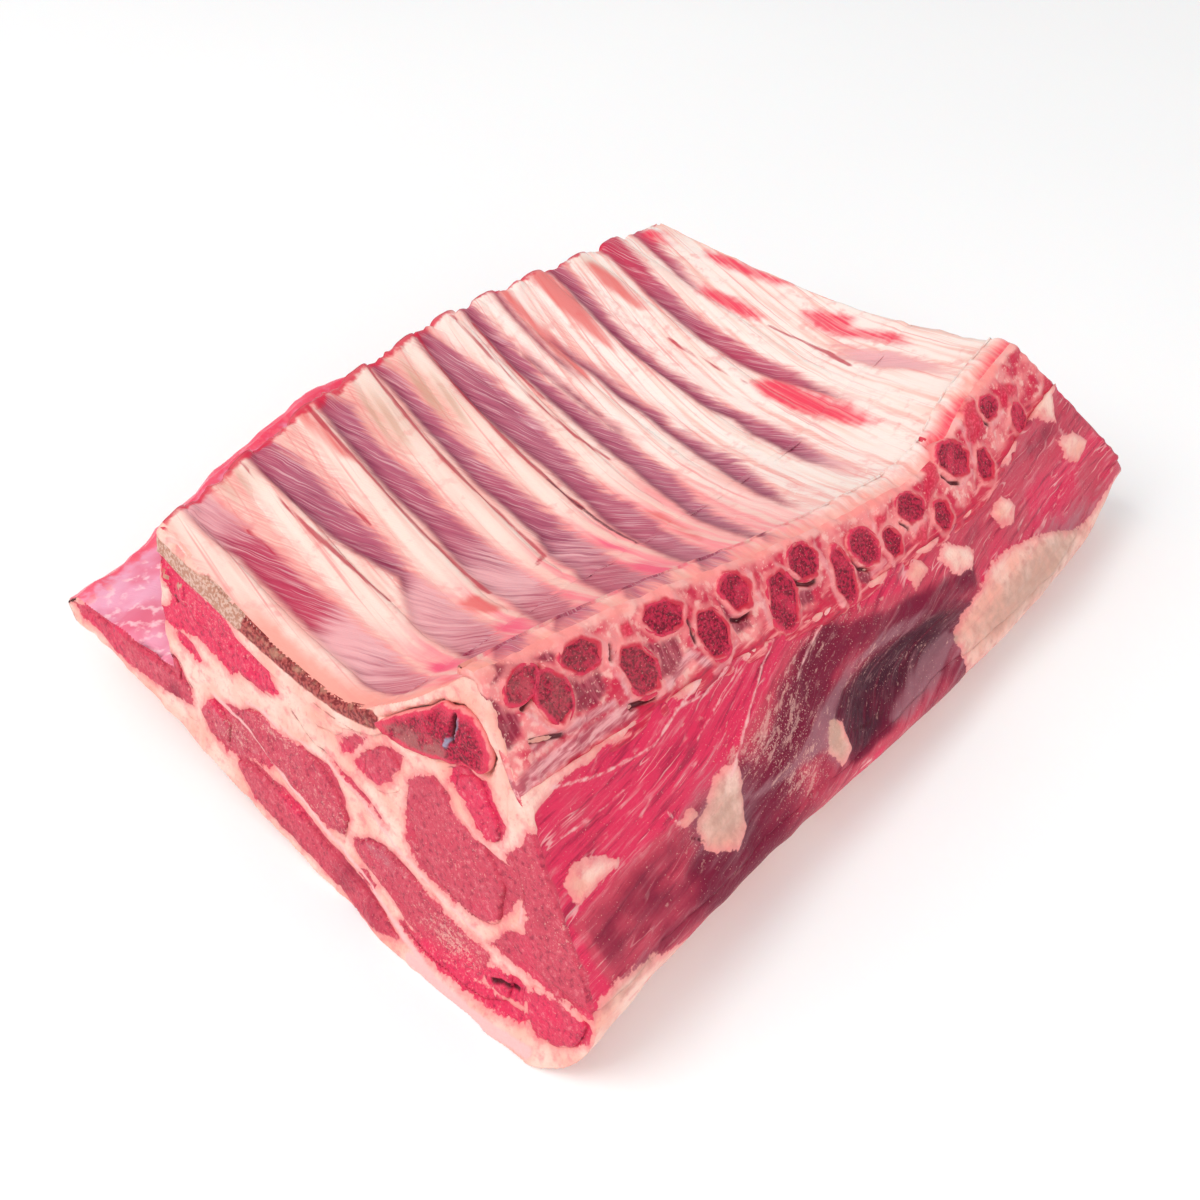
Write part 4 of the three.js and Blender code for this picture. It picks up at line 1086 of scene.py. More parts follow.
for name, (low, high, grow) in MUSCLES.items():
    width = high[-1][0] - low[0][0]
    columns = int(np.clip(width / 0.9, 16, 80))
    rows = 15
    lower = line(low, columns)
    upper = line(high, columns)
    left = line([lower[0], upper[0]], rows)
    right = line([lower[-1], upper[-1]], rows)
    muscle = carry(name + "_soft", fill(left, right, lower, upper), np.linspace(0, 1, 31), grow)
    finish(muscle, "SMOOTH", factor=0.5, iterations=2)
    t, a, b = read(muscle, "section").T
    point = read(muscle)
    marks = mark_cuts(muscle)
    on_cut = blend(0.03, 0, t) + blend(0.97, 1, t)
    swell = 0.0004 - 0.0012 * blend(-0.3, 0.6, marks["dark"]) - 0.0004 * blend(0.3, -0.6, marks["lean"])
    push(muscle, swell * on_cut + 0.0003 * noise(point, 0.004, 3) + 0.00012 * noise(point, 0.0014, 4))
    dress(muscle, (cut_across, EVERY_FACE))
    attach(muscle, "root")
    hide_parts(name)


# The lean beside the spine: the muscle that the saw laid bare along the chine, with its grain
# running the length of the rack and a deep hollow where a muscle has pulled away.
lean_left = line([(16.4, 26.2), (23.7, 37), (30.5, 47), (37.2, 57), (44.6, 68)], 76)
lean_right = line([(41, 28.5), (40.3, 36), (40, 45), (45, 53), (47, 60.5), (48, 68)], 76)
lean_lower = line([(16.4, 26.2), (26, 25.8), (36, 26.2), (41, 28.5)], 15)
lean_upper = line([(44.6, 68), (48, 68)], 15)
chine_lean = carry("chine_lean_soft", fill(lean_left, lean_right, lean_lower, lean_upper),
                   np.linspace(0, 1, 331))
finish(chine_lean, "SMOOTH", factor=0.5, iterations=2)
marks = mark_cuts(chine_lean)
point = read(chine_lean)
grain = np.stack([0.16 * point[:, 0], point[:, 1], point[:, 2]], -1)
grain[:, 2] = grain[:, 2] - chine_slope(beside_cut(chine_lean)[0] / CHINE_LENGTH) * 0.001
open_cut = blend(0.0, 0.5, -read(chine_lean, "normal")[:, 1])
relief = 0.0006 * noise(grain, 0.005, 5) + 0.0004 * noise(grain, 0.0021, 6)
relief = relief + 0.0008 * noise(point, 0.013, 7) + 0.00025 * noise(point, 0.0024, 8)
relief = relief - 0.0012 * blend(-0.4, 1.0, marks["dark"]) + 0.0004 * blend(-0.6, 0.4, marks["pale"])
push(chine_lean, 0.0003 + open_cut * (relief + 0.0007 * blend(0.6, -0.8, marks["lean"])))
dress(chine_lean, (cut_along, EVERY_FACE), (cut_across, on_the_cuts(chine_lean)))
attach(chine_lean, "root")
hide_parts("chine_lean")


# The wall between the ribs: thin muscle under a glossy membrane, grown to the ribs on both sides,
# with fine slanting fibres that feather out over the next rib.
wall_top = [(a, float(inner_height(np.array(0.0), np.array(float(a))))) for a in range(85, 170, 6)]
wall_upper = line(wall_top + [(RIB_END + 1.1, 70.5)], 111)
wall_lower = line([(91, 56), (105, 48), (122, 44.5), (140, 45.5), (158, 50), (171.5, 54)], 111)
wall_left = line([(85, wall_top[0][1]), (91, 56)], 9)[::-1]
wall_right = line([(171.5, 54), (172.6, 64), (RIB_END + 1.1, 70.5)], 9)
wall = carry("rib_wall_soft", fill(wall_left, wall_right, wall_lower, wall_upper),
             np.linspace(0, 1, 301))
finish(wall, "SMOOTH", factor=0.5, iterations=2)
t, a, b = read(wall, "section").T
point = read(wall)
marks = mark_inner(wall)
slant = np.stack([point[:, 0] + 0.49 * point[:, 1], 0.12 * point[:, 1], 0 * t], -1)
facing = facing_up(wall)
edge = 0.0009 * blend(89, 85, a)
push(wall, facing * (-valley(marks, a) - edge + 0.0002 * noise(slant, 0.0014, 8)
                     + 0.0003 * noise(point, 0.009, 9))
     + (1 - facing) * (0.0008 * noise(point, 0.005, 10) + 0.0003 * noise(point, 0.0016, 14))
     + blend(166, 171, a) * (0.0011 * noise(point, 0.0042, 15) + 0.0005 * noise(point, 0.0016, 16)))
mark_cuts(wall)
end = dict(zip(TISSUES, end_tissue(a, b)))
for name, value in (("lean", np.where(a > 169, 4.0, -6.0)), ("tone", 0.25)):
    keep(wall, name, np.where(t < END_SHARE, end[name], value))
on_face = (face_normals(wall)[:, 2] > 0.3) | (face_values(wall, "section", 1) < 92)
dress(wall, (cut_across, EVERY_FACE), (skin, on_face & off_the_cuts(wall)))
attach(wall, "root")
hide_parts("rib_wall")


# The ribs: ten flat curved bars of bone under a thin skin, sawn through at their outer ends. Each
# lies in the wall with its inner side just proud of it, and its head sinks in beside the spine.
SPONGE_DEEP = tint("700a26")
SPONGE_RED = tint("bc1c42")
SPONGE_BRIGHT = tint("e03858")
SPONGE_PALE = tint("f0aca0")
SPONGE_TAN = tint("a85a5c")
SHELL_PINK = tint("ee8e8c")
CORD_BLUE = tint("9c94ac")


def sawn_bone():
    """The look of sawn bone: red sponge in a pink shell."""
    material, tree = new_material("sawn_bone")
    spot = put(tree, "TexCoord", 3)
    coarse = mottle(tree, spot, 130, 2)
    middle = mottle(tree, spot, 420, 3)
    fine = mottle(tree, spot, 1300, 2, 0.6)
    rim = calc(tree, "MULTIPLY_ADD", middle, 0.34, kept(tree, "rim"))
    core = laid_over(tree, SPONGE_DEEP, SPONGE_RED, fine, 0.38, 0.6)
    core = laid_over(tree, core, SPONGE_BRIGHT, coarse, 0.5, 0.7, 0.6)
    core = mixed(tree, calc(tree, "MULTIPLY", kept(tree, "aged"), fade(tree, middle, 0.3, 0.6)), core,
                 SPONGE_TAN)
    specks = mottle(tree, spot, 1900, 1)
    core = laid_over(tree, core, SPONGE_PALE, specks, 0.66, 0.78, 0.5)
    core = laid_over(tree, core, GAP_DARK, specks, 0.38, 0.3, 0.5)
    core = laid_over(tree, core, SPONGE_BRIGHT, rim, 0.94, 1.12, 0.8)
    colour = laid_over(tree, core, SHELL_PINK, rim, 1.16, 1.26, 0.9)
    colour = laid_over(tree, colour, GAP_DARK, kept(tree, "slit"), -0.4, 0.4)
    colour = laid_over(tree, colour, CORD_BLUE, kept(tree, "cord"), -0.3, 0.3)
    finish_look(material, colour, fine, 0.45, 0.12, 0.5)
    return material


bone_cut = sawn_bone()


def mark_bone(piece, rim, aged=0, slit=-9, cord=-9):
    """What the sawn faces of bone show: how near the rim, how brown, and a slit with a cord in it."""
    for name, value in (("rim", rim), ("aged", aged), ("slit", slit), ("cord", cord)):
        keep(piece, name, np.zeros(len(piece.data.vertices)) + value)


def tube_faces(count, sides, first=0):
    """Quads over so many rings of points, and the many-sided face that closes each end."""
    ids = first + np.arange(count * sides).reshape(count, sides)
    nxt = np.roll(ids, -1, axis=1)
    quads = np.stack([ids[:-1], nxt[:-1], nxt[1:], ids[1:]], -1).reshape(-1, 4).tolist()
    return quads + [ids[0].tolist()[::-1], ids[-1].tolist()]


RIB_SIDES = 44
RIB_STEPS = 84
RIB_CLOSING = [0.3, 0.5, 0.66, 0.8, 0.9, 0.96]      # how the two rounded ends draw in
RIB_HALF_DEPTH = 3.6
RIB_SINK = 3.5                  # how far a rib's middle line lies under the inner face
HEAD_SINK = 2.9                 # and how much further its head does
SQUARENESS = 0.62               # of its section: 1 would be an oval
RIB_SPAN = 215                  # millimetres along the rack for a whole of it, where the ribs lie
for i in range(RIBS):
    u = np.concatenate([[0] * 6, np.linspace(0, 1, RIB_STEPS + 1), [1] * 6])[:, None]
    size = np.concatenate([RIB_CLOSING, np.ones(RIB_STEPS + 1), RIB_CLOSING[::-1]])[:, None]
    angle = np.linspace(0, 2 * math.pi, RIB_SIDES, endpoint=False)[None, :]
    a = RIB_START + (RIB_END + RIB_PROUD - RIB_START) * u + 0 * angle
    start = 0.6 + 0.4 * blend(0, 0.08, u)
    half_width = (rib_half_width(a) + 0.3) * start * size
    half_depth = (RIB_HALF_DEPTH + 0.5 * u) * start * size
    across = np.sign(np.cos(angle)) * np.abs(np.cos(angle)) ** SQUARENESS * half_width
    up = np.sign(np.sin(angle)) * np.abs(np.sin(angle)) ** SQUARENESS * half_depth
    t = np.maximum(rib_centre(i, a) + across / RIB_SPAN, -0.004)
    crown = 0.45 * (1 - (across / np.maximum(half_width, 0.1)) ** 2) - 0.75 * blend(158, 171, a)
    head = HEAD_SINK * blend(0.16, 0, u) ** 1.3
    tilt = 0.15 * across * blend(3, 0, np.abs(up - 3))
    b = inner_height(0 * a, a) - RIB_SINK - head + up + crown + tilt
    at = np.stack([t, a, b], -1).reshape(-1, 3)
    rib = new_piece("rib_%02d_soft" % (i + 1), place(*at.T), tube_faces(*t.shape), at)
    mark_bone(rib, (np.where((size < 1) & (u > 0.5), size, 1.0) + 0 * angle).ravel(), 0.5)
    point = read(rib)
    along = point * np.array([1, 0.3, 1])
    push(rib, 0.00025 * noise(along, 0.006, 11 + i) + 0.00008 * noise(point, 0.0015, 12))
    face_marks = mark_inner(rib)
    push(rib, -facing_up(rib) * valley(face_marks, at[:, 1]))
    mark_cuts(rib)
    face_t = face_values(rib, "section", 0)
    face_a = face_values(rib, "section", 1)
    on_end = (face_t < 0.01) & (face_normals(rib)[:, 0] < -0.3)
    dress(rib, (skin, EVERY_FACE), (cut_across, on_end), (bone_cut, face_a > 172.7))
    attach(rib, "root")
    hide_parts("rib_%02d" % (i + 1))


# The vertebrae: sawn down the middle, so each shows a dark spongy body near the top of the cut
# and an arch below it, rimmed by a thin shell of hard bone. Bone in the meat joins the two.
SAWN_PARTS = [
    ([(21.8, 83.2), (23.6, 86.2), (28, 87), (31.2, 85.2), (29.6, 82.4), (25, 81.6)],
     [(28.4, 78.4), (29.8, 82.4), (33.6, 83), (36.8, 79.6), (35.6, 75.2), (31.2, 73.8)]),
    ([(38.4, 82.2), (40.4, 84.4), (45.4, 83.8), (48.8, 81), (47, 78.2), (41.4, 78.8)],
     [(51.8, 74.6), (54.4, 76.8), (58.8, 75.2), (61.2, 70.4), (58.6, 66.4), (53.4, 67.6)]),
    ([(63.4, 78.6), (66, 79.8), (71.6, 78.6), (75.2, 76), (73, 73), (66.4, 74.2)],
     [(76.4, 68.8), (79, 71.8), (83.4, 70.6), (85.4, 66), (82.6, 61.6), (78, 62.8)]),
    ([(88.8, 72.4), (91.6, 74.4), (95.4, 73), (97.6, 69.6), (95, 66.4), (90.4, 67.4)],
     [(100.6, 61), (104.6, 67.2), (109, 67), (111, 61.8), (107.6, 56.2), (102.6, 56.6)]),
    ([(112.6, 66.2), (115, 69), (120, 68.2), (122.6, 64.6), (119.8, 61.4), (115, 62.4)],
     [(125.6, 55), (127.8, 61.4), (131.2, 61.6), (132.8, 56.4), (130.4, 51), (127, 50.8)]),
    ([(135.6, 59.6), (138.4, 62.2), (143.2, 60.8), (145.6, 56.8), (143, 53.6), (138, 55)],
     [(148, 54.4), (149.4, 57), (152.6, 56.8), (154.4, 53.6), (152.6, 50.8), (149, 51.2)]),
    ([(157.8, 58.4), (160.4, 60.8), (165.6, 59.6), (168.4, 56.2), (165.4, 53.8), (160.2, 54.8)],
     [(171, 50.6), (173.4, 53.4), (177.2, 52), (177.6, 48.4), (174.8, 46.6), (171.8, 47.6)]),
    ([(181.6, 60), (185, 63.2), (191, 61.6), (194.4, 57.4), (191.4, 54), (185, 55.6)],
     [(196.6, 52.4), (198.8, 55.8), (202.4, 55), (203, 51), (200.4, 48.6), (197.2, 49.6)]),
    ([(207.6, 63), (209.4, 65.2), (213.4, 64.6), (215.6, 62), (213, 60), (209, 60.4)],
     [(219.4, 55.6), (221.4, 58.4), (225, 57.4), (225.8, 53.8), (223, 51.8), (220, 52.8)]),
]
SHELL_SHARE = 1.18              # the shell of hard bone stands out this much past the sponge


def ring_through(outline, count):
    """Points along a smooth closed curve through an outline."""
    p = np.array(outline, float)
    fours = zip(np.roll(p, 1, axis=0), p, np.roll(p, -1, axis=0), np.roll(p, -2, axis=0))
    curve = np.array([bend(*four, u) for four in fours for u in np.arange(0, 1, 1 / count)])
    return curve.mean(0) + SHELL_SHARE * (curve - curve.mean(0))


# The rings of a block of bone: each one's size, and how deep it lies in the cut face
FACE_RINGS = [(0.1, -0.45), (0.22, -0.45), (0.34, -0.45), (0.46, -0.45), (0.57, -0.45), (0.67, -0.5),
              (0.76, -0.5), (0.84, -0.55), (0.9, -0.6), (0.95, -0.7), (1, -0.7), (1.04, -0.4), (1.07, 0)]
BEHIND_RIM = 1.2                # the mark of the rings that lie in the meat


def bone_block(outline, depth):
    """Rings of a block of bone that goes into the meat from the saw cut, as x, Z and how deep."""
    edge = ring_through(outline, 9)
    middle = edge.mean(0)
    rings = []
    for size, step in FACE_RINGS + [(1.05, 1), (1, depth * 0.4), (0.9, depth * 0.75), (0.75, depth)]:
        ring = middle + (edge - middle) * size
        rings.append(np.concatenate([ring, np.full((len(ring), 1), step)], 1))
    return np.array(rings)


def on_saw_cut(x, z, depth):
    """The point at x and Z on the saw cut along the spine, and so deep behind it."""
    steep = math.hypot(1, CHINE_LEAN)
    y = CHINE_FOOT + CHINE_LEAN * z + depth / steep
    height = z - depth * CHINE_LEAN / steep
    return np.stack([x * 0.001 + ZERO_X, y * 0.001 + ZERO_Y, height * 0.001], -1)


for i, parts in enumerate(SAWN_PARTS):
    (bx, bz), (ax, az) = np.mean(parts[0], axis=0), np.mean(parts[1], axis=0)
    bar = [((bx + ax) / 2 + 4 * c - 2.4 * s, (bz + az) / 2 + 4.4 * s)
           for c, s in ((1, 0), (0.5, 0.87), (-0.5, 0.87), (-1, 0), (-0.5, -0.87), (0.5, -0.87))]
    blocks = [bone_block(parts[0], 8), bone_block(parts[1], 9), bone_block(bar, 8)]
    blocks[2][:, :, 2] = np.maximum(blocks[2][:, :, 2], 3.2)
    faces = []
    first = 0
    for block in blocks:
        faces = faces + tube_faces(*block.shape[:2], first)
        first = first + block.shape[0] * block.shape[1]
    at = np.concatenate([block.reshape(-1, 3) for block in blocks])
    bone = new_piece("vertebra_%02d_soft" % (i + 2), on_saw_cut(*at.T), faces, at)
    rims = [size for size, step in FACE_RINGS] + [BEHIND_RIM] * 4
    rim = np.concatenate([np.repeat(rims, block.shape[1]) for block in blocks])
    mark_bone(bone, rim, 0.45 * (i == 0) + 0.25 * (i == 1))
    point = read(bone)
    push(bone, (0.0003 * noise(point, 0.0013, 20 + i) + 0.0003 * noise(point, 0.004, 50 + i)) * (rim < 1))
    dress(bone, (bone_cut, EVERY_FACE))
    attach(bone, "root")
    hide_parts("vertebra_%02d" % (i + 2))


# The first vertebra: a slice of bone on the shoulder-end cut, brown and spongy towards the rib,
# with the open canal of the spinal cord between it and its arch.
FIRST_SHARE = 0.82
FIRST_MIDDLE = np.array([68.5, 68.5])
FIRST_SIZES = [0.06, 0.13, 0.2, 0.27, 0.34, 0.41, 0.48, 0.55, 0.62, 0.69, 0.76, 0.83, 0.89, 0.94, 0.98]
FIRST_FRONT = -0.0045           # where along the rack its sponge lies, a little out of the cut
first_edge = ring_through(END_BONE, 9)
first_edge = first_edge.mean(0) + FIRST_SHARE * (first_edge - first_edge.mean(0))
first_at = []
for size, t_at in [(size, FIRST_FRONT) for size in FIRST_SIZES] + [(1.0, -0.0035), (1.02, -0.001),
                                                                   (1.02, 0.003), (0.98, 0.0075)]:
    ring = FIRST_MIDDLE + (first_edge - FIRST_MIDDLE) * size
    first_at.append(np.concatenate([np.full((len(ring), 1), t_at), ring], 1))
first_at = np.array(first_at)
first_bone = new_piece("vertebra_01_soft", place(*first_at.reshape(-1, 3).T),
                       tube_faces(*first_at.shape[:2]), first_at.reshape(-1, 3))
t, a, b = read(first_bone, "section").T
rim = np.repeat(FIRST_SIZES + [1.04, 1.1, BEHIND_RIM, BEHIND_RIM], first_at.shape[1])
canal = depth_along([(64.6, 77.6), (65.2, 74), (65, 70.6)], 0.7, a, b)
cord = depth_along([(63.4, 78), (63.8, 75), (64.6, 71)], 0.2, a, b)
cord = np.maximum(cord, depth_along([(66, 70.4), (66.4, 68.6)], 0.6, a, b))
brown = blend(-2, 1.5, depth_in([(67, 68), (76, 66), (90, 62), (92, 57), (76, 58), (66, 62)], a, b))
mark_bone(first_bone, rim, brown, canal, cord)
point = read(first_bone)
rough = 0.0003 * noise(point, 0.0013, 61) + 0.0004 * noise(point, 0.004, 62)
push(first_bone, (rough - 0.0016 * blend(-0.5, 0.7, canal) + 0.0008 * blend(-0.3, 0.5, cord))
     * (rim < 1))
dress(first_bone, (bone_cut, EVERY_FACE))
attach(first_bone, "root")
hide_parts("vertebra_01")


# The ridge over the spine: the sawn edge of fat, gristle and canal between the vertebrae, an
# outer layer of the fat. It is laid over it as a closer mesh, since so much shows in so little.
RIDGE_GAPS = [([(24, 80.6), (28, 81.2), (31, 83.2), (32.6, 84.6)], 0.55), ([(50.4, 77), (52, 79)], 0.5),
              ([(74.6, 68), (75.6, 72.4)], 0.45), ([(88, 66.2), (90.6, 64.6), (94.6, 64.4)], 0.4),
              ([(110.6, 65.4), (112.6, 62.4), (117, 60), (119, 59.8)], 0.6),
              ([(134, 58), (135.6, 54.6), (139, 52.8)], 0.4), ([(157, 56), (159, 53.4)], 0.35),
              ([(180.6, 57.4), (182.4, 54.8), (186, 53.2)], 0.45), ([(22, 74.6), (30, 71.6)], 0.5),
              ([(50, 66.4), (57, 64.8)], 0.6), ([(206.6, 60.6), (208.6, 58.8)], 0.35)]
RIDGE_BROWN = [[(13, 78), (14, 87), (18.5, 86), (22.6, 80), (21, 77), (17, 76.2)],
               [(36.4, 73), (35.6, 80.6), (40, 79), (46.4, 78), (46.4, 73), (42, 71.4)],
               [(20, 88), (24, 89.6), (30, 87.4), (27, 86)], [(32, 86.6), (36, 86), (40, 83.4), (36, 83.6)],
               [(60, 67), (60.6, 74.6), (66, 72.6), (70.4, 71.6), (70, 67), (65, 66)],
               [(86.2, 67.2), (87, 72), (88.6, 66.4), (94, 64.6), (93, 62), (88, 63)],
               [(111.4, 57.4), (112, 61), (117, 58.6), (116.6, 56)],
               [(133.6, 52), (134.4, 55.6), (139, 52.6), (138, 50)]]
RIDGE_RED = [[(55.6, 77.6), (57, 81), (60, 80.6), (59.4, 77.8)],
             [(72, 72), (77, 76), (79, 73.4), (75, 70.6)],
             [(98, 68), (101, 71.6), (102.6, 69), (100, 66.6)],
             [(8, 88), (12, 90.2), (15, 88.4), (11, 86.6)],
             [(146, 57.6), (149, 61.4), (154, 61), (153, 58.8), (148.6, 58)],
             [(170, 56), (176, 62), (181, 63.2), (179, 57), (172, 54)],
             [(196, 60), (200, 66), (207, 67), (206, 60), (199, 57)], [(216, 60), (219, 66), (228, 62),
             (226, 57)], [(158, 50), (164, 52.6), (169, 51.6), (164, 48)]]
RIDGE_GRISTLE = [([(24, 79.4), (29, 72.2), (37, 71.6)], 0.5), ([(47.6, 84), (50.4, 80), (50, 76)], 0.7),
                 ([(49.6, 74), (51.6, 66.6), (58, 64.6), (63, 66)], 0.8),
                 ([(74.6, 78), (76, 73.4), (74.4, 68)], 0.9), ([(76, 60), (82, 59.8), (86.4, 62)], 0.7),
                 ([(98.6, 72), (99.4, 66), (98.6, 60)], 0.9), ([(108.4, 69), (111.6, 66), (114, 60.4)], 0.6),
                 ([(88.4, 66.6), (92, 65.4), (97, 65.6)], 0.6), ([(123.6, 66), (124.8, 60), (124, 52)], 1.0),
                 ([(112.6, 61.4), (117, 59), (121, 60)], 0.7), ([(135, 55), (139, 51.6), (145, 52)], 0.7),
                 ([(147, 60), (147.4, 54), (148, 50)], 0.8), ([(157, 55), (161, 52.6), (167, 52.6)], 0.6),
                 ([(180.8, 56.4), (186, 52.6), (193, 53)], 0.8), ([(194, 68), (197, 62), (195.6, 55)], 1.0),
                 ([(206, 60), (210, 58.4), (216, 59)], 0.7)]
RIDGE_SINEW = [([(8, 69), (20, 69.6), (36, 68), (50, 66)], 1.6), ([(22, 73.4), (34, 71.4), (46, 69.4)], 0.9),
               ([(62, 65), (72, 66.4), (76, 62)], 1.0), ([(50, 70), (51.6, 75), (52, 79)], 0.5)]
RIDGE_PEACH = tint("ee8a8a")
RIDGE_PINK = tint("ce2e4c")
RIDGE_CREAM = tint("f6bab0")
CREST_ORANGE = tint("f29088")
TENDON_PINK = tint("c81e42")
GRISTLE = tint("e8a6a8")
BROWN_RED = tint("8a1c38")
BROWN_TAN = tint("b04c5c")
RING_RED = tint("c8143a")


def ridge_look():
    """The look of the ridge, with gristle, gaps and tendon placed by what was kept."""
    material, tree = new_material("ridge_of_fat_and_gristle")
    spot = put(tree, "TexCoord", 3)
    coarse = mottle(tree, spot, 110, 3)
    middle = mottle(tree, spot, 360, 3)
    fine = mottle(tree, spot, 1300, 2)
    strands = mottle(tree, drawn_out(tree, spot, (0.012, 0.0018, 0.0016)), 1.0, 3, 0.6)
    hatch = mottle(tree, drawn_out(tree, spot, (0.0011, 0.005, 0.007)), 1.0, 2)
    ragged = calc(tree, "MULTIPLY_ADD", middle, 1.8, -0.9)

    def near(name, low, high, share=1.0):
        """How much of a kept mark shows, with its edge made ragged."""
        return fade(tree, calc(tree, "ADD", kept(tree, name), ragged), low, high, 0, share)

    colour = laid_over(tree, RIDGE_PEACH, RIDGE_PINK, coarse, 0.4, 0.62)
    colour = laid_over(tree, colour, RIDGE_CREAM, middle, 0.5, 0.66, 0.8)
    colour = laid_over(tree, colour, TENDON_PINK, coarse, 0.52, 0.66, 0.8)
    colour = laid_over(tree, colour, RIDGE_CREAM, fine, 0.62, 0.7, 0.6)
    meat = laid_over(tree, TENDON_PINK, RIDGE_PEACH, strands, 0.5, 0.68)
    meat = laid_over(tree, meat, BROWN_RED, strands, 0.46, 0.36, 0.6)
    colour = mixed(tree, near("tendon", -1.5, 1.5, 0.95), colour, meat)
    sinew = laid_over(tree, BROWN_TAN, GRISTLE, strands, 0.4, 0.62)
    colour = mixed(tree, near("sinew", -0.8, 0.8, 0.9), colour, sinew)
    crest = laid_over(tree, CREST_ORANGE, RIDGE_CREAM, coarse, 0.4, 0.62)
    colour = mixed(tree, near("crest", -0.9, 0.9, 0.75), colour, crest)
    colour = mixed(tree, near("gristle", -0.5, 0.5, 0.45), colour, GRISTLE)
    striped = laid_over(tree, BROWN_RED, BROWN_TAN, hatch, 0.42, 0.66)
    striped = laid_over(tree, striped, RIDGE_CREAM, fine, 0.58, 0.7, 0.6)
    colour = mixed(tree, near("brown", -0.6, 0.6, 0.9), colour, striped)
    red = laid_over(tree, RING_RED, SPONGE_BRIGHT, fine, 0.45, 0.65)
    colour = mixed(tree, near("red", -0.6, 0.8, 0.9), colour, red)
    colour = mixed(tree, near("bone", -2.6, -1.5, 0.5), colour, SHELL_PINK)
    colour = mixed(tree, near("bone", -1.2, -0.4, 0.9), colour, RING_RED)
    gap = calc(tree, "ADD", kept(tree, "gap"), calc(tree, "MULTIPLY", ragged, 0.25))
    colour = laid_over(tree, colour, GAP_DARK, gap, -0.2, 0.2, 0.9)
    height = calc(tree, "MULTIPLY_ADD", strands, 0.6, calc(tree, "MULTIPLY", middle, 0.8))
    finish_look(material, colour, height, 0.4, 0.2, 0.45)
    return material


outer = line([(41.6, 63.5), (47.3, 72), (57.1, 86.5), (60.4, 90.1), (66.5, 89.2)], 78)
step_out = np.gradient(outer, axis=0)
step_out = np.stack([-step_out[:, 1], step_out[:, 0]], -1) / np.hypot(*step_out.T)[:, None]
inner = outer - 2.2 * step_out
ridge_grid = np.stack([inner * (1 - k) + outer * k for k in (0, 0.5, 1)], 1)
spine_ridge = carry("spine_ridge_soft", ridge_grid, np.linspace(0, 1, 431), finer=False)
finish(spine_ridge, "SMOOTH", factor=0.5, iterations=1)
t, a, b = read(spine_ridge, "section").T
point = read(spine_ridge)
x, z = beside_cut(spine_ridge)
marks = {"bone": in_any(sum(SAWN_PARTS, ()), x, z),
         "brown": in_any(RIDGE_BROWN, x, z), "red": in_any(RIDGE_RED, x, z),
         "gap": along_any(RIDGE_GAPS, x, z), "gristle": along_any(RIDGE_GRISTLE, x, z),
         "sinew": along_any(RIDGE_SINEW, x, z), "crest": (a - 59.0) * 1.2,
         "tendon": 70 + 2.5 * np.sin(x * 0.26) + 3 * blend(50, 90, x) - b}
for name, values in marks.items():
    keep(spine_ridge, name, values)
height = 0.0005 * noise(point, 0.006, 71) + 0.0004 * noise(point, 0.0024, 72)
height = height - 0.0017 * blend(-0.45, 0.35, marks["gap"]) + 0.0004 * blend(-1.2, 0.4, marks["gristle"])
height = height + 0.0004 * blend(-1.8, -0.7, marks["bone"]) - 0.0016 * blend(-0.5, 0.6, marks["bone"])
height = height - 0.0004 * blend(-0.6, 0.6, marks["brown"]) + 0.0003 * blend(-0.6, 0.6, marks["red"])
edges = 0.0012 * np.maximum(blend(66, 63.6, b), blend(64.4, 66.4, a))
shown = blend(-0.2, 0.4, (read(spine_ridge, "normal") * np.array([0, -0.6, 0.8])).sum(1))
push(spine_ridge, shown * (height - edges + 0.0003))
mark_inner(spine_ridge)
on_top = (face_values(spine_ridge, "section", 1) > 61.2) & off_the_cuts(spine_ridge)
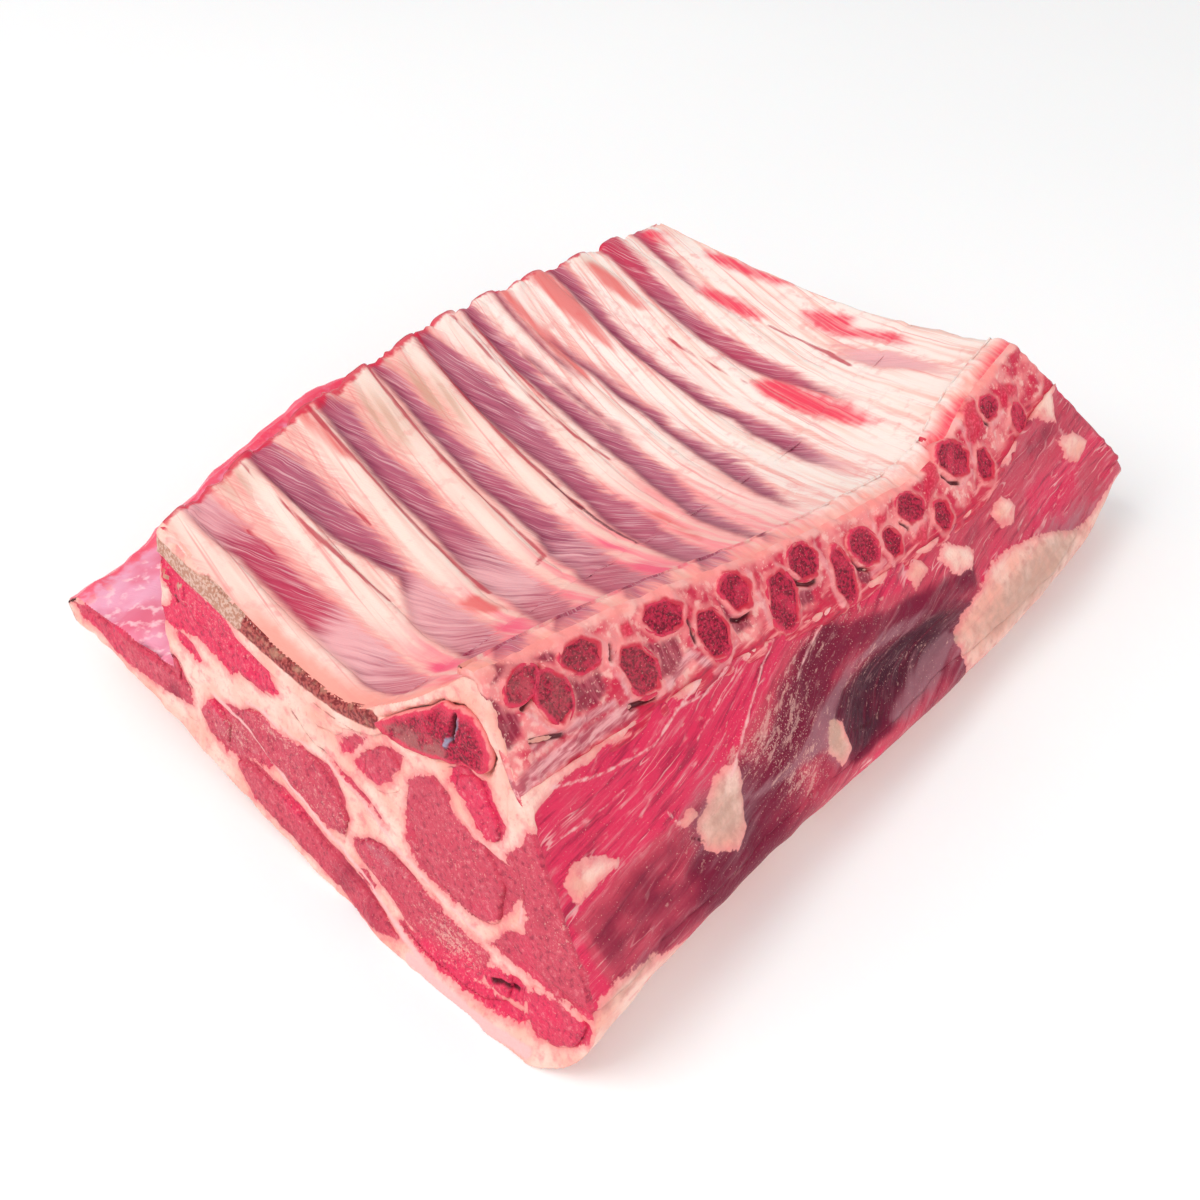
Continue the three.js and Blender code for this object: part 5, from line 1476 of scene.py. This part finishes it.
dress(spine_ridge, (ridge_look(), EVERY_FACE), (skin, on_top))
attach(spine_ridge, "root")
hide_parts("fat_and_seams")


# The picture: a pale floor, a soft light from above and the left, and a long lens looking down
# on the shoulder end as the photo does.
VIEW_AZIMUTH = math.radians(50.63)
VIEW_DROP = math.radians(42.28)
VIEW_ROLL = math.radians(-0.11)
VIEW_PLACE = (-0.2693, -0.2179, 0.3127)
LENS = 45.06

camera = bpy.data.objects.new("camera", bpy.data.cameras.new("camera"))
bpy.context.scene.collection.objects.link(camera)
camera.data.lens = LENS
camera.data.sensor_width = 36
camera.data.clip_start = 0.01
camera.location = VIEW_PLACE
camera.rotation_euler = (math.pi / 2 - VIEW_DROP, VIEW_ROLL, -VIEW_AZIMUTH)
bpy.context.scene.camera = camera

bpy.ops.mesh.primitive_plane_add(size=12, location=(0, 0, 0))
floor = bpy.context.object
floor.name = "floor"
floor_look, floor_tree = new_material("pale_table")
grey = mottle(floor_tree, put(floor_tree, "TexCoord", 3), 3, 2)
white = mixed(floor_tree, grey, tint("f4f4f5"), tint("fbfbfb"))
finish_look(floor_look, white, grey, 0.7, 0.0, 0.05)
floor.data.materials.append(floor_look)


def lamp(name, place_at, aim, size, power, colour):
    """A square soft light, aimed at a point."""
    light = bpy.data.lights.new(name, "AREA")
    light.size = size
    light.energy = power
    light.color = colour
    item = bpy.data.objects.new(name, light)
    item.location = place_at
    direction = Vector(aim) - Vector(place_at)
    item.rotation_euler = direction.to_track_quat("-Z", "Y").to_euler()
    bpy.context.scene.collection.objects.link(item)


lamp("window", (-0.9, 0.5, 1.3), (0, 0, 0.03), 1.1, 15, (1, 0.985, 0.97))
lamp("room", (-0.5, -1.4, 0.8), (0, 0, 0.03), 1.3, 7.5, (0.98, 0.99, 1))
world = bpy.data.worlds.new("studio")
bpy.context.scene.world = world
world.use_nodes = True
world.node_tree.nodes["Background"].inputs["Color"].default_value = (1, 1, 1, 1)
world.node_tree.nodes["Background"].inputs["Strength"].default_value = 0.68
bpy.context.scene.view_settings.view_transform = "Standard"
